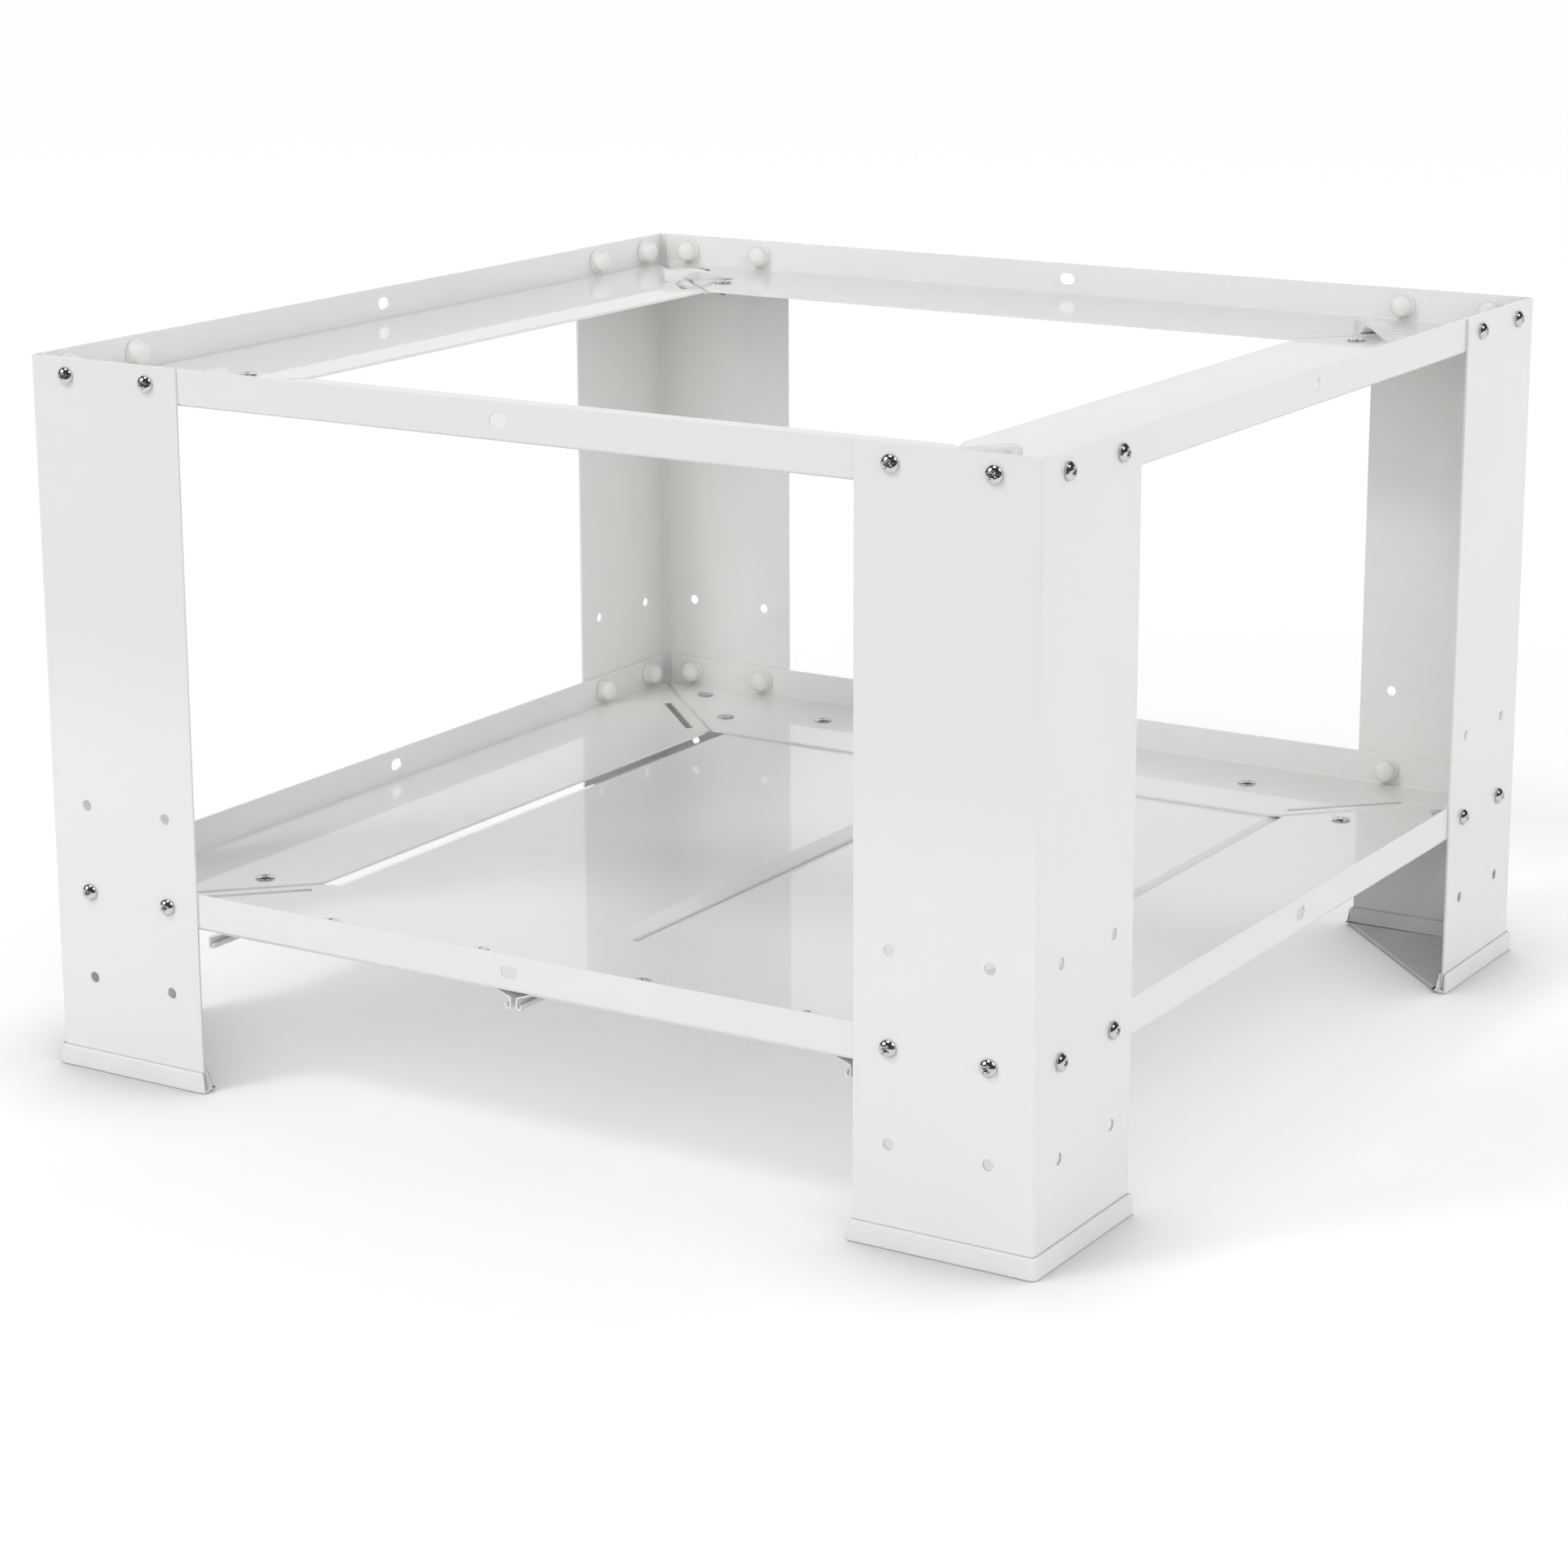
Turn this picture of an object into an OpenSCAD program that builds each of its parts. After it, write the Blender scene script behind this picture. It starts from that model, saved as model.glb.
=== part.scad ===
// A square raised stand for a washing machine, with a storage shelf.
// Four corner legs of folded sheet, two frames of mitred angle rails bolted between
// them, a two-panel shelf under the lower frame and a plastic foot on each leg.
// X runs left to right along the front, Y from front to back, Z up from the floor.
// The origin is on the floor at the middle of the stand.

/* [Stand] */
// Width over the outer faces of the legs, left to right
stand_w = 610; // [560:1:680]
// Depth over the outer faces of the legs, front to back
stand_d = 610; // [560:1:680]
// Length of a leg's sheet
leg_h = 395; // [320:1:480]

/* [Legs] */
// Width of each of a leg's two flanges
leg_flange = 100; // [95:1:120]
// Thickness of the legs' sheet
leg_t = 1.5; // [1.2:0.1:2]
// From the corner of a leg to its first column of holes
col_near = 25; // [22:0.5:32]
// From the corner of a leg to its second column of holes
col_far = 80; // [60:0.5:85]
// From the lower end of a leg to the row that carries the shelf
shelf_row = 100; // [85:1:160]
// From that row to the spare rows above and below it
row_pitch = 49; // [36:1:60]
// Diameter of the holes in the legs
leg_hole_d = 6; // [5.6:0.1:7]

/* [Rails] */
// Height of a rail's upright rim
rail_h = 20; // [19:0.5:30]
// Width of a rail's flat flange, from the outer face of the rim
rail_w = 102; // [98:0.5:120]
// Thickness of the rails' sheet
rail_t = 1.5; // [1.2:0.1:2]
// Outer radius of every fold in legs and rails
fold_r = 2.5; // [2.2:0.1:3]
// From the top edge of a rim to the line of its holes
hole_drop = 9.5; // [8.5:0.1:12]
// From the corner of a frame to the end of each rim
rim_cut = 5; // [4:0.5:12]
// Length of the oblong hole at the middle of each rim
mid_slot_l = 10.5; // [8:0.5:20]
// Width of the oblong hole at the middle of each rim
mid_slot_w = 7; // [4:0.5:8]
// Diameter of the bolt holes in the rails
rail_hole_d = 5.5; // [5.2:0.1:6]

/* [Frame corners] */
// Open line left between two mitred flanges
seam_gap = 0.4; // [0.2:0.1:1]
// Width of the step that sinks the tongue by one sheet
step_w = 4.5; // [3:0.5:6]
// From the step to the mitred edge at both ends of it
step_edge = 0.5; // [0.3:0.1:1]
// How far the tongue reaches under the next rail, square to the seam
tongue_reach = 28; // [24:1:34]
// From the outer face of a rail to the near side of its tongue
tongue_margin = 6; // [4:0.5:10]
// From the outer face of the next rail to the tongue under it
tongue_side = 4; // [3:0.5:10]
// From the tongue's far side to the inner edge of the flange
tongue_short = 2; // [1:0.5:4]
// From the seam to the middle of the slanted slot
slant_off = 12.5; // [11:0.5:16]
// Width of the slanted slot
slant_w = 5; // [4:0.5:6]
// From the frame's corner to the near end of the slanted slot, along the seam
slant_from = 63; // [56:1:70]
// From the inner corner of the frame to the far end of the slanted slot, along the seam
slant_in = 7.5; // [5:0.5:30]
// From the seam to the corner bolts
corner_bolt_off = 16.5; // [14:0.5:20]
// From the frame's corner to the first corner bolt, along the seam
corner_bolt_a = 51.5; // [48:0.5:60]
// From the inner corner of the frame to the second corner bolt, along the seam
corner_bolt_in = 30; // [26:0.5:34]

/* [Shelf] */
// Thickness of the shelf panels' sheet
panel_t = 1; // [0.8:0.1:1.5]
// Gap between the two panels
panel_gap = 3; // [1:0.5:8]
// Width of the sloping shoulder along each long edge of a panel
shoulder_w = 10; // [6:0.5:16]
// How far the shoulder falls
shoulder_drop = 3.5; // [2:0.5:6]
// Depth of the turned-down lip below the shoulder
lip_h = 6; // [4.5:0.5:12]
// Outer radius of the curl at the bottom of the lip
curl_r = 1.8; // [1.6:0.1:2.2]
// Height of the curl's free edge above its middle
curl_up = 1.5; // [0.5:0.1:2]
// From the ends of a panel to the outer faces of the frame
panel_setback = 3; // [3:0.5:20]
// From the middle of a panel to its bolts, to the left and right
panel_bolt_off = 50; // [20:1:80]
// From the outer face of the frame to the panel bolts
panel_bolt_in = 45; // [20:1:88]

/* [Feet] */
// Thickness of a foot's floor, under the leg
foot_floor_t = 2.5; // [2:0.1:6]
// Height of a foot's channel
foot_h = 11.5; // [8:0.5:16]
// Thickness of a foot's outer wall
foot_wall = 2; // [1.2:0.1:3]
// Thickness of a foot's inner wall
foot_inner_wall = 2; // [1.2:0.1:3]
// How far a foot reaches past the ends of the leg's flanges, which its channel leaves open
foot_end = 2.5; // [1.5:0.1:5]
// Clearance round the leg in the foot's channel
foot_clear = 0.1; // [0.05:0.05:0.3]
// Radius of a foot's outer corner
foot_corner_r = 3.5; // [1:0.5:6]

/* [Fasteners] */
// Diameter of the bolts' thread
bolt_d = 5; // [4.5:0.1:5]
// Length of the bolts under the head
bolt_l = 10; // [9:0.5:10.5]
// Diameter of the leg bolts' domed heads
head_d = 9.5; // [8.5:0.1:11]
// Height of the domed heads
head_h = 3.4; // [2.8:0.1:4]
// Height of the straight edge round the domed heads
head_edge = 1.2; // [0.6:0.1:1.6]
// Diameter of the low heads of the corner bolts and shelf bolts
low_head_d = 10.8; // [9.5:0.1:12]
// Height of the low heads
low_head_h = 1.5; // [1.3:0.1:2.4]
// Height of the straight edge round the low heads
low_head_edge = 0.7; // [0.4:0.1:0.9]
// Length of each bar of the cross recess
recess_l = 5; // [4:0.1:6]
// Width of each bar of the cross recess
recess_w = 1.2; // [0.8:0.1:1.6]
// Depth of the cross recess in a domed head
recess_h = 1.8; // [1:0.1:2.2]
// Depth of the cross recess in a low head
low_recess_h = 1; // [0.6:0.1:1.2]
// Width of the nuts across their flats
nut_af = 8; // [7.5:0.1:8.5]
// Height of the nuts
nut_h = 4; // [3:0.1:4.5]
// Diameter of the nut caps at their brim
cap_d = 15; // [14:0.5:16]
// Width of the nut caps' brim
brim_w = 1; // [0.5:0.1:1.2]
// Height of the nut caps' brim
brim_h = 1.6; // [1:0.1:2.5]
// Height of the nut caps
cap_h = 9.5; // [9.5:0.1:12]
// Radius of the dome that closes the nut caps
cap_dome_r = 8.2; // [7.2:0.1:12]
// Clearance between a nut and its cap
cap_clear = 0.3; // [0.2:0.05:0.4]
// Clearance between a bolt's thread and its nut
thread_clear = 0.05; // [0.05:0.01:0.1]

/* [Corner clips] */
// Width of a clip, along the seam
clip_w = 12; // [8:0.5:16]
// Thickness of the clip's arm over the seam
clip_t = 2; // [1.5:0.1:3]
// Thickness of the clip's tip
clip_tip_t = 0.9; // [0.8:0.1:1.5]
// Width of the clip's tip
clip_tip_w = 6; // [4:0.5:8]
// From the frame's corner to the middle of the clip, along the seam
clip_at = 96; // [88:1:100]
// Length of the clip's head, square to the seam
clip_head_l = 8; // [7:0.5:12]
// Length of the notch in the head's edge, square to the seam
notch_l = 4.5; // [2:0.5:6]
// Width of the notch, along the seam
notch_w = 2.5; // [1:0.1:5]
// Depth of the notch
notch_h = 3; // [0.8:0.1:4]
// Rise of the arm's underside over the seam
clip_rise = 5; // [3:0.5:6]
// How far the arm reaches past the seam over the next rail
clip_reach = 28; // [20:1:34]
// How far the clip's foot reaches under the flange on each side of the slot
clip_foot = 3; // [1.5:0.5:5]
// Clearance between the clip's stem and the slot, on each side
stem_clear = 0.3; // [0.2:0.05:0.6]

/* [Hidden] */
$fn = 40;
// Overshoot of every cut, and the overlap of shapes that join into one solid
cut = 1;
lap = 0.5;

white_paint = [0.90, 0.90, 0.88];
white_plastic = [0.93, 0.93, 0.90];
zinc = [0.75, 0.76, 0.78];

// Heights of the two frames, at the underside of their flanges
leg_top = foot_floor_t + leg_h;
upper_z = leg_top - rail_h;
lower_z = foot_floor_t + shelf_row + hole_drop - rail_h;
bolt_z = rail_h - hole_drop;
// Outer size of the frames, which fit inside the legs
frame_w = stand_w - 2 * leg_t;
frame_d = stand_d - 2 * leg_t;
// Width of the window between the side flanges, which the two panels fill
window_w = frame_w - 2 * rail_w;
panel_w = (window_w - panel_gap) / 2;
panel_l = frame_d - 2 * panel_setback;
tongue_end = rail_w - tongue_short;
root2 = sqrt(2);
// Places along the seam, counted from the frame's corner
seam_l = rail_w * root2;
slant_l = seam_l - slant_in - slant_from;
clip_head_h = clip_rise + clip_t;
corner_bolts_at = [corner_bolt_a, seam_l - corner_bolt_in];

// Places a shape made at the front left corner at each corner in turn:
// 0 front left, 1 front right, 2 rear right, 3 rear left.
// The shape's x runs along the side that starts at that corner.
module at_corner(i, w, d) {
    corner = [[-w / 2, -d / 2], [w / 2, -d / 2], [w / 2, d / 2], [-w / 2, d / 2]][i];
    translate([corner[0], corner[1], 0])
        rotate([0, 0, 90 * i])
            children();
}

// Places a shape along the seam of a corner: x runs along the seam from the frame's
// corner, y square to it, towards the rail that owns the slanted slot.
module on_seam() {
    rotate([0, 0, 45])
        mirror([0, 1, 0])
            children();
}

// Outline of a folded sheet, with its outer corner at the origin
module angle_outline(a, b, t) {
    translate([fold_r, 0])
        square([a - fold_r, t]);
    translate([0, fold_r])
        square([t, b - fold_r]);
    intersection() {
        square(fold_r);
        translate([fold_r, fold_r])
            difference() {
                circle(fold_r);
                circle(fold_r - t);
            }
    }
}

// A round hole through the sheet that stands on the line y = 0
module hole_through_y(x, z, d, t) {
    translate([x, -cut, z])
        rotate([-90, 0, 0])
            cylinder(d = d, h = t + 2 * cut);
}

module leg(i) {
    rows = [shelf_row - row_pitch, shelf_row, shelf_row + row_pitch, leg_h - hole_drop];
    color(white_paint)
        translate([0, 0, foot_floor_t])
            at_corner(i, stand_w, stand_d)
                difference() {
                    linear_extrude(leg_h)
                        angle_outline(leg_flange, leg_flange, leg_t);
                    for (col = [col_near, col_far], row = rows) {
                        hole_through_y(col, row, leg_hole_d, leg_t);
                        mirror([1, -1, 0])
                            hole_through_y(col, row, leg_hole_d, leg_t);
                    }
                }
}

// A foot: a three-cornered floor with a channel that grips the end of the leg
module foot(i) {
    outside = foot_wall + foot_clear;
    inside = leg_t + foot_clear + foot_inner_wall;
    reach = leg_flange + foot_end;
    color(white_plastic)
        at_corner(i, stand_w, stand_d) {
            linear_extrude(foot_floor_t)
                foot_outline(outside, [[reach, -outside], [reach, inside], [inside, reach], [-outside, reach]]);
            difference() {
                linear_extrude(foot_h)
                    foot_outline(outside, [
                        [reach, -outside], [reach, inside], [inside, inside],
                        [inside, reach], [-outside, reach]
                    ]);
                translate([0, 0, foot_floor_t])
                    linear_extrude(foot_h) {
                        translate([-foot_clear, -foot_clear])
                            square([reach + cut, leg_t + 2 * foot_clear]);
                        translate([-foot_clear, -foot_clear])
                            square([leg_t + 2 * foot_clear, reach + cut]);
                        square(fold_r + foot_clear);
                    }
            }
        }
}

// Outline of a foot with a rounded outer corner, closed through the given points
module foot_outline(outside, points) {
    r = foot_corner_r;
    polygon(concat([[-outside, r - outside], [r - outside, -outside]], points));
    translate([r - outside, r - outside])
        circle(r);
}

// A rail, from the corner with its slanted slot and tongue, along x, to the corner
// with its two bolt holes. Its rim stands on y = 0 and its flange is level at z = 0.
module rail(length, panel_bolts) {
    difference() {
        union() {
            rail_rim(length);
            rail_flange_and_tongue(length);
        }
        rail_rim_holes(length);
        on_seam() {
            translate([slant_from, slant_off - slant_w / 2, -cut])
                cube([slant_l, slant_w, rail_t + 2 * cut]);
            for (s = corner_bolts_at)
                translate([s, -corner_bolt_off, -rail_t - cut])
                    cylinder(d = rail_hole_d, h = rail_t + 2 * cut);
        }
        translate([length, 0, 0])
            mirror([1, 0, 0])
                rotate([0, 0, 45])
                    for (s = corner_bolts_at)
                        translate([s, -corner_bolt_off, -cut])
                            cylinder(d = rail_hole_d, h = rail_t + 2 * cut);
        for (x = panel_bolts)
            translate([length / 2 + x, panel_bolt_in, -cut])
                cylinder(d = rail_hole_d, h = rail_t + 2 * cut);
    }
}

// The rim with its fold, cut short of both corners
module rail_rim(length) {
    translate([rim_cut, 0, 0])
        rotate([90, 0, 90])
            linear_extrude(length - 2 * rim_cut)
                angle_outline(fold_r + lap, rail_h, rail_t);
}

// The flange, mitred to 45 degrees at both ends. At its near end it steps down by one
// sheet, and the tongue reaches on under the next rail.
module rail_flange_and_tongue(length) {
    near = (step_w + step_edge) * root2;
    far = length - seam_gap * root2;
    end = length - rim_cut - lap;
    intersection() {
        on_seam()
            translate([-length, 0, 0])
                rotate([90, 0, 90])
                    linear_extrude(3 * length)
                        polygon([
                            [2 * length, rail_t], [2 * length, 0], [step_w, 0], [0, -rail_t],
                            [-tongue_reach, -rail_t], [-tongue_reach, 0], [0, 0],
                            [step_w, rail_t]
                        ]);
        translate([0, 0, -2 * rail_t])
            linear_extrude(4 * rail_t)
                polygon([
                    [near + fold_r, fold_r], [near + tongue_margin, tongue_margin],
                    [tongue_side, tongue_margin], [tongue_side, tongue_end],
                    [near + tongue_end, tongue_end], [near + rail_w, rail_w],
                    [far - rail_w, rail_w], [end, far - end], [end, fold_r]
                ]);
    }
}

module rail_rim_holes(length) {
    for (x = [col_near, col_far])
        for (end = [x - leg_t, length - x + leg_t])
            hole_through_y(end, bolt_z, rail_hole_d, rail_t);
    translate([length / 2, rail_t + cut, bolt_z])
        rotate([90, 0, 0])
            linear_extrude(rail_t + 2 * cut) {
                square([mid_slot_l - mid_slot_w, mid_slot_w], center = true);
                for (side = [-1, 1])
                    translate([side * (mid_slot_l - mid_slot_w) / 2, 0])
                        circle(d = mid_slot_w);
            }
}

module upper_rail(i) {
    color(white_paint)
        translate([0, 0, upper_z])
            at_corner(i, frame_w, frame_d)
                rail(i % 2 == 0 ? frame_w : frame_d, []);
}

// The front and rear rails of the lower frame also carry the panels
module lower_rail(i) {
    color(white_paint)
        translate([0, 0, lower_z])
            at_corner(i, frame_w, frame_d)
                rail(i % 2 == 0 ? frame_w : frame_d, i % 2 == 0 ? panel_bolt_places() : []);
}

// Distances of the panel bolts from the middle of the stand
function panel_bolt_places() = [
    for (side = [-1, 1], off = [-1, 1])
        side * (panel_gap + panel_w) / 2 + off * panel_bolt_off
];

// Left half of a panel's section, walked along its upper side from the middle to the
// curl's free edge and back along its lower side. The panel's left edge is at x = 0.
function panel_half() =
    let (curl_z = -shoulder_drop - panel_t - lip_h + curl_r)
    concat(
        [[shoulder_w, 0], [0, -shoulder_drop]],
        [for (a = [180:15:360]) [curl_r + curl_r * cos(a), curl_z + curl_r * sin(a)]],
        [[2 * curl_r, curl_z + curl_up], [2 * curl_r - panel_t, curl_z + curl_up]],
        [for (a = [360:-15:180])
            [curl_r + (curl_r - panel_t) * cos(a), curl_z + (curl_r - panel_t) * sin(a)]],
        [[panel_t, -shoulder_drop - panel_t], [shoulder_w, -panel_t]]
    );

// A shelf panel: flat sheet with a sloping shoulder and a curled lip on each side
module shelf_panel(side) {
    middle = side * (panel_gap + panel_w) / 2;
    half = panel_half();
    last = len(half) - 1;
    color(white_paint)
        difference() {
            translate([middle - panel_w / 2, panel_l / 2, lower_z])
                rotate([90, 0, 0])
                    linear_extrude(panel_l)
                        polygon(concat(half, [for (k = [last:-1:0]) [panel_w - half[k][0], half[k][1]]]));
            for (off = [-1, 1], end = [-1, 1])
                translate([
                    middle + off * panel_bolt_off,
                    end * (frame_d / 2 - panel_bolt_in),
                    lower_z - panel_t - cut
                ])
                    cylinder(d = rail_hole_d, h = panel_t + 2 * cut);
        }
}

// The leg bolts, with a domed head
module domed_bolt() {
    bolt(head_d, head_h, head_edge, recess_h);
}

// The corner bolts and shelf bolts, with a low head that leaves the flanges nearly level
module low_bolt() {
    bolt(low_head_d, low_head_h, low_head_edge, low_recess_h);
}

// A bolt with a cross recess. Its head, d wide and h high, stands up from z = 0. It has a
// straight edge and a domed top.
module bolt(d, h, edge, recess) {
    r = d / 2;
    rise = h - edge;
    dome_r = (r * r + rise * rise) / (2 * rise);
    difference() {
        union() {
            cylinder(r = r, h = edge);
            intersection() {
                translate([0, 0, h - dome_r])
                    sphere(dome_r);
                translate([0, 0, edge])
                    cylinder(r = r, h = h);
            }
            translate([0, 0, -bolt_l])
                cylinder(d = bolt_d, h = bolt_l);
        }
        for (turn = [0, 90])
            rotate([0, 0, turn])
                translate([-recess_l / 2, -recess_w / 2, h - recess])
                    cube([recess_l, recess_w, recess + cut]);
    }
}

// A hexagon nut that hangs down from z = 0
module nut() {
    translate([0, 0, -nut_h])
        difference() {
            cylinder(d = nut_af / cos(30), h = nut_h, $fn = 6);
            translate([0, 0, -cut])
                cylinder(d = bolt_d + 2 * thread_clear, h = nut_h + 2 * cut);
        }
}

// A plastic cap over a nut: a brim, a dome and a hollow for nut and thread
module nut_cap() {
    body_r = cap_d / 2 - brim_w;
    dome_h = cap_dome_r - sqrt(cap_dome_r * cap_dome_r - body_r * body_r);
    nut_r = nut_af / 2 / cos(30);
    thread_end = bolt_l - leg_t - rail_t;
    rotate([180, 0, 0])
        difference() {
            union() {
                cylinder(d = cap_d, h = brim_h);
                cylinder(r = body_r, h = cap_h - dome_h);
                intersection() {
                    translate([0, 0, cap_h - cap_dome_r])
                        sphere(cap_dome_r);
                    translate([0, 0, brim_h])
                        cylinder(r = body_r, h = cap_h);
                }
            }
            translate([0, 0, -cut])
                cylinder(r = nut_r + cap_clear, h = cut + nut_h + cap_clear);
            translate([0, 0, -cut])
                cylinder(r = bolt_d / 2 + cap_clear, h = cut + thread_end + cap_clear);
        }
}

// Places a bolt or nut on each of the 16 leg holes of one frame. The shape's z axis
// points out of the stand and z = 0 lies as far inside the leg's outer face as asked.
module on_leg_holes(z, depth) {
    for (i = [0:3])
        translate([0, 0, z])
            at_corner(i, stand_w, stand_d)
                for (x = [col_near, (i % 2 == 0 ? stand_w : stand_d) - col_near, col_far,
                        (i % 2 == 0 ? stand_w : stand_d) - col_far])
                    translate([x, depth, 0])
                        rotate([90, 0, 0])
                            children();
}

// Places a bolt or nut on the eight corner bolt holes of one frame
module on_corner_holes(z) {
    for (i = [0:3])
        translate([0, 0, z])
            at_corner(i, frame_w, frame_d)
                on_seam()
                    for (s = corner_bolts_at)
                        translate([s, -corner_bolt_off, 0])
                            children();
}

// Places a bolt or nut on the eight panel bolt holes
module on_panel_holes(z) {
    for (x = panel_bolt_places(), end = [-1, 1])
        translate([x, end * (frame_d / 2 - panel_bolt_in), z])
            children();
}

// A clip: a stem through the slanted slot, a squared head and an arm that arches over
// the seam and rests its tapered tip on the next rail
module clip(i) {
    stem_w = slant_w - 2 * stem_clear;
    foot_w = slant_w + 2 * clip_foot;
    near = slant_off - stem_w / 2;
    far = near + clip_head_l;
    color(white_plastic)
        translate([0, 0, upper_z + rail_t])
            at_corner(i, frame_w, frame_d)
                on_seam()
                    translate([clip_at, 0, 0]) {
                        difference() {
                            intersection() {
                                translate([-clip_w / 2, 0, 0])
                                    rotate([90, 0, 90])
                                        linear_extrude(clip_w)
                                            polygon(clip_section(near, far));
                                linear_extrude(clip_head_h + cut)
                                    clip_plan(far);
                            }
                            translate([-clip_w / 2 - cut, near, clip_head_h - notch_h])
                                cube([notch_w + cut, notch_l, notch_h + cut]);
                        }
                        translate([-clip_w / 2, near, -rail_t - clip_t])
                            cube([clip_w, stem_w, rail_t + clip_t]);
                        translate([-clip_w / 2, slant_off - foot_w / 2, -rail_t - clip_t])
                            cube([clip_w, foot_w, clip_t]);
                    }
}

// Seen from above: full width, then tapering to the tip
module clip_plan(far) {
    half = clip_w / 2;
    tip = clip_tip_w / 2;
    polygon([
        [-half, far], [half, far], [half, 0],
        [tip, -clip_reach], [-tip, -clip_reach], [-half, 0]
    ]);
}

// Side view of head and arm: level on top from the head to the seam, then falling to
// the tip. The underside rises from the head to its crown over the seam.
function clip_section(near, far) =
    let (steps = 8,
        rising = [for (k = [0:steps]) near * (1 - k / steps)],
        falling = [for (k = [1:steps]) -clip_reach * k / steps])
    concat(
        [[far, clip_head_h], [far, 0]],
        [for (y = rising) [y, clip_rise * (1 - cos(180 * (1 - y / near))) / 2]],
        [for (y = falling) [y, clip_fall(y)]],
        [for (k = [steps - 1:-1:0]) [falling[k], clip_fall(falling[k]) + clip_taper(falling[k])]]
    );

// The arm's underside and thickness past the seam
function clip_fall(y) = clip_rise * (1 + cos(180 * y / clip_reach)) / 2;
function clip_taper(y) = clip_t + (clip_tip_t - clip_t) * -y / clip_reach;

module upper_leg_bolts() {
    color(zinc)
        on_leg_holes(leg_top - hole_drop, 0)
            domed_bolt();
}

module lower_leg_bolts() {
    color(zinc)
        on_leg_holes(foot_floor_t + shelf_row, 0)
            domed_bolt();
}

module upper_leg_nuts() {
    color(zinc)
        on_leg_holes(leg_top - hole_drop, leg_t + rail_t)
            nut();
}

module lower_leg_nuts() {
    color(zinc)
        on_leg_holes(foot_floor_t + shelf_row, leg_t + rail_t)
            nut();
}

module upper_nut_caps() {
    color(white_plastic)
        on_leg_holes(leg_top - hole_drop, leg_t + rail_t)
            nut_cap();
}

module lower_nut_caps() {
    color(white_plastic)
        on_leg_holes(foot_floor_t + shelf_row, leg_t + rail_t)
            nut_cap();
}

module upper_corner_bolts() {
    color(zinc)
        on_corner_holes(upper_z + rail_t)
            low_bolt();
}

module lower_corner_bolts() {
    color(zinc)
        on_corner_holes(lower_z + rail_t)
            low_bolt();
}

module upper_corner_nuts() {
    color(zinc)
        on_corner_holes(upper_z - rail_t)
            nut();
}

module lower_corner_nuts() {
    color(zinc)
        on_corner_holes(lower_z - rail_t)
            nut();
}

module shelf_bolts() {
    color(zinc)
        on_panel_holes(lower_z + rail_t)
            low_bolt();
}

module shelf_nuts() {
    color(zinc)
        on_panel_holes(lower_z - panel_t)
            nut();
}

leg(0);  // leg_front_left
leg(1);  // leg_front_right
leg(2);  // leg_rear_right
leg(3);  // leg_rear_left
foot(0);  // foot_front_left
foot(1);  // foot_front_right
foot(2);  // foot_rear_right
foot(3);  // foot_rear_left
upper_rail(0);  // upper_rail_front
upper_rail(1);  // upper_rail_right
upper_rail(2);  // upper_rail_rear
upper_rail(3);  // upper_rail_left
lower_rail(0);  // lower_rail_front
lower_rail(1);  // lower_rail_right
lower_rail(2);  // lower_rail_rear
lower_rail(3);  // lower_rail_left
shelf_panel(-1);  // shelf_panel_left
shelf_panel(1);  // shelf_panel_right
clip(0);  // clip_front_left
clip(1);  // clip_front_right
clip(2);  // clip_rear_right
clip(3);  // clip_rear_left
upper_leg_bolts();
lower_leg_bolts();
upper_leg_nuts();
lower_leg_nuts();
upper_nut_caps();
lower_nut_caps();
upper_corner_bolts();
lower_corner_bolts();
upper_corner_nuts();
lower_corner_nuts();
shelf_bolts();
shelf_nuts();
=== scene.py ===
# %% [markdown]
# # A raised stand for a washing machine
# The real object is bent sheet steel with a white powder coat, held together by
# chromed machine screws, with feet, nut caps and corner clips of white plastic.
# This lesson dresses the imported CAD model: each piece takes the place of one of its
# nodes, and Blender adds what a camera sees, which is soft folds, eased edges, screw
# recesses and finishes.

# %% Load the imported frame
import math

import bmesh
import bpy
from mathutils import Matrix, Vector


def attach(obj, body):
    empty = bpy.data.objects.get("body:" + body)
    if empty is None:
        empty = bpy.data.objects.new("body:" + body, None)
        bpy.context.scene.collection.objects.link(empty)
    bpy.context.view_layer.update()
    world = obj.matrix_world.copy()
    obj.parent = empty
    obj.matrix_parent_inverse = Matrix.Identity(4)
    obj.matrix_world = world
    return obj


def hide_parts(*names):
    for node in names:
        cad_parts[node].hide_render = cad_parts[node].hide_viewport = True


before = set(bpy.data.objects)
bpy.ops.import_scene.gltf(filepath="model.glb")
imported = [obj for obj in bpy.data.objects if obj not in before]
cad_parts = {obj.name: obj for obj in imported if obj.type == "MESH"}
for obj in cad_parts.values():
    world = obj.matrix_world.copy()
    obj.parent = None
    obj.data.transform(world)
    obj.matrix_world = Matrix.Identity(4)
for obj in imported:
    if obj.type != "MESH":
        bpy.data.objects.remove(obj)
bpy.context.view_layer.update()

# %% [markdown]
# ## Sizes
# The stand could be modelled in metres, as Blender counts. The numbers here are the
# stand's own, in millimetres, because sheet metal is drawn in millimetres and Blender's
# exact booleans like numbers near one. Each piece is built at that scale and shrunk to
# metres in its last step.

# %% Sizes in millimetres
MM = 0.001
ROOT2 = math.sqrt(2)
SIDES = ["front", "right", "rear", "left"]
CORNERS = ["front_left", "front_right", "rear_right", "rear_left"]

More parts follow.
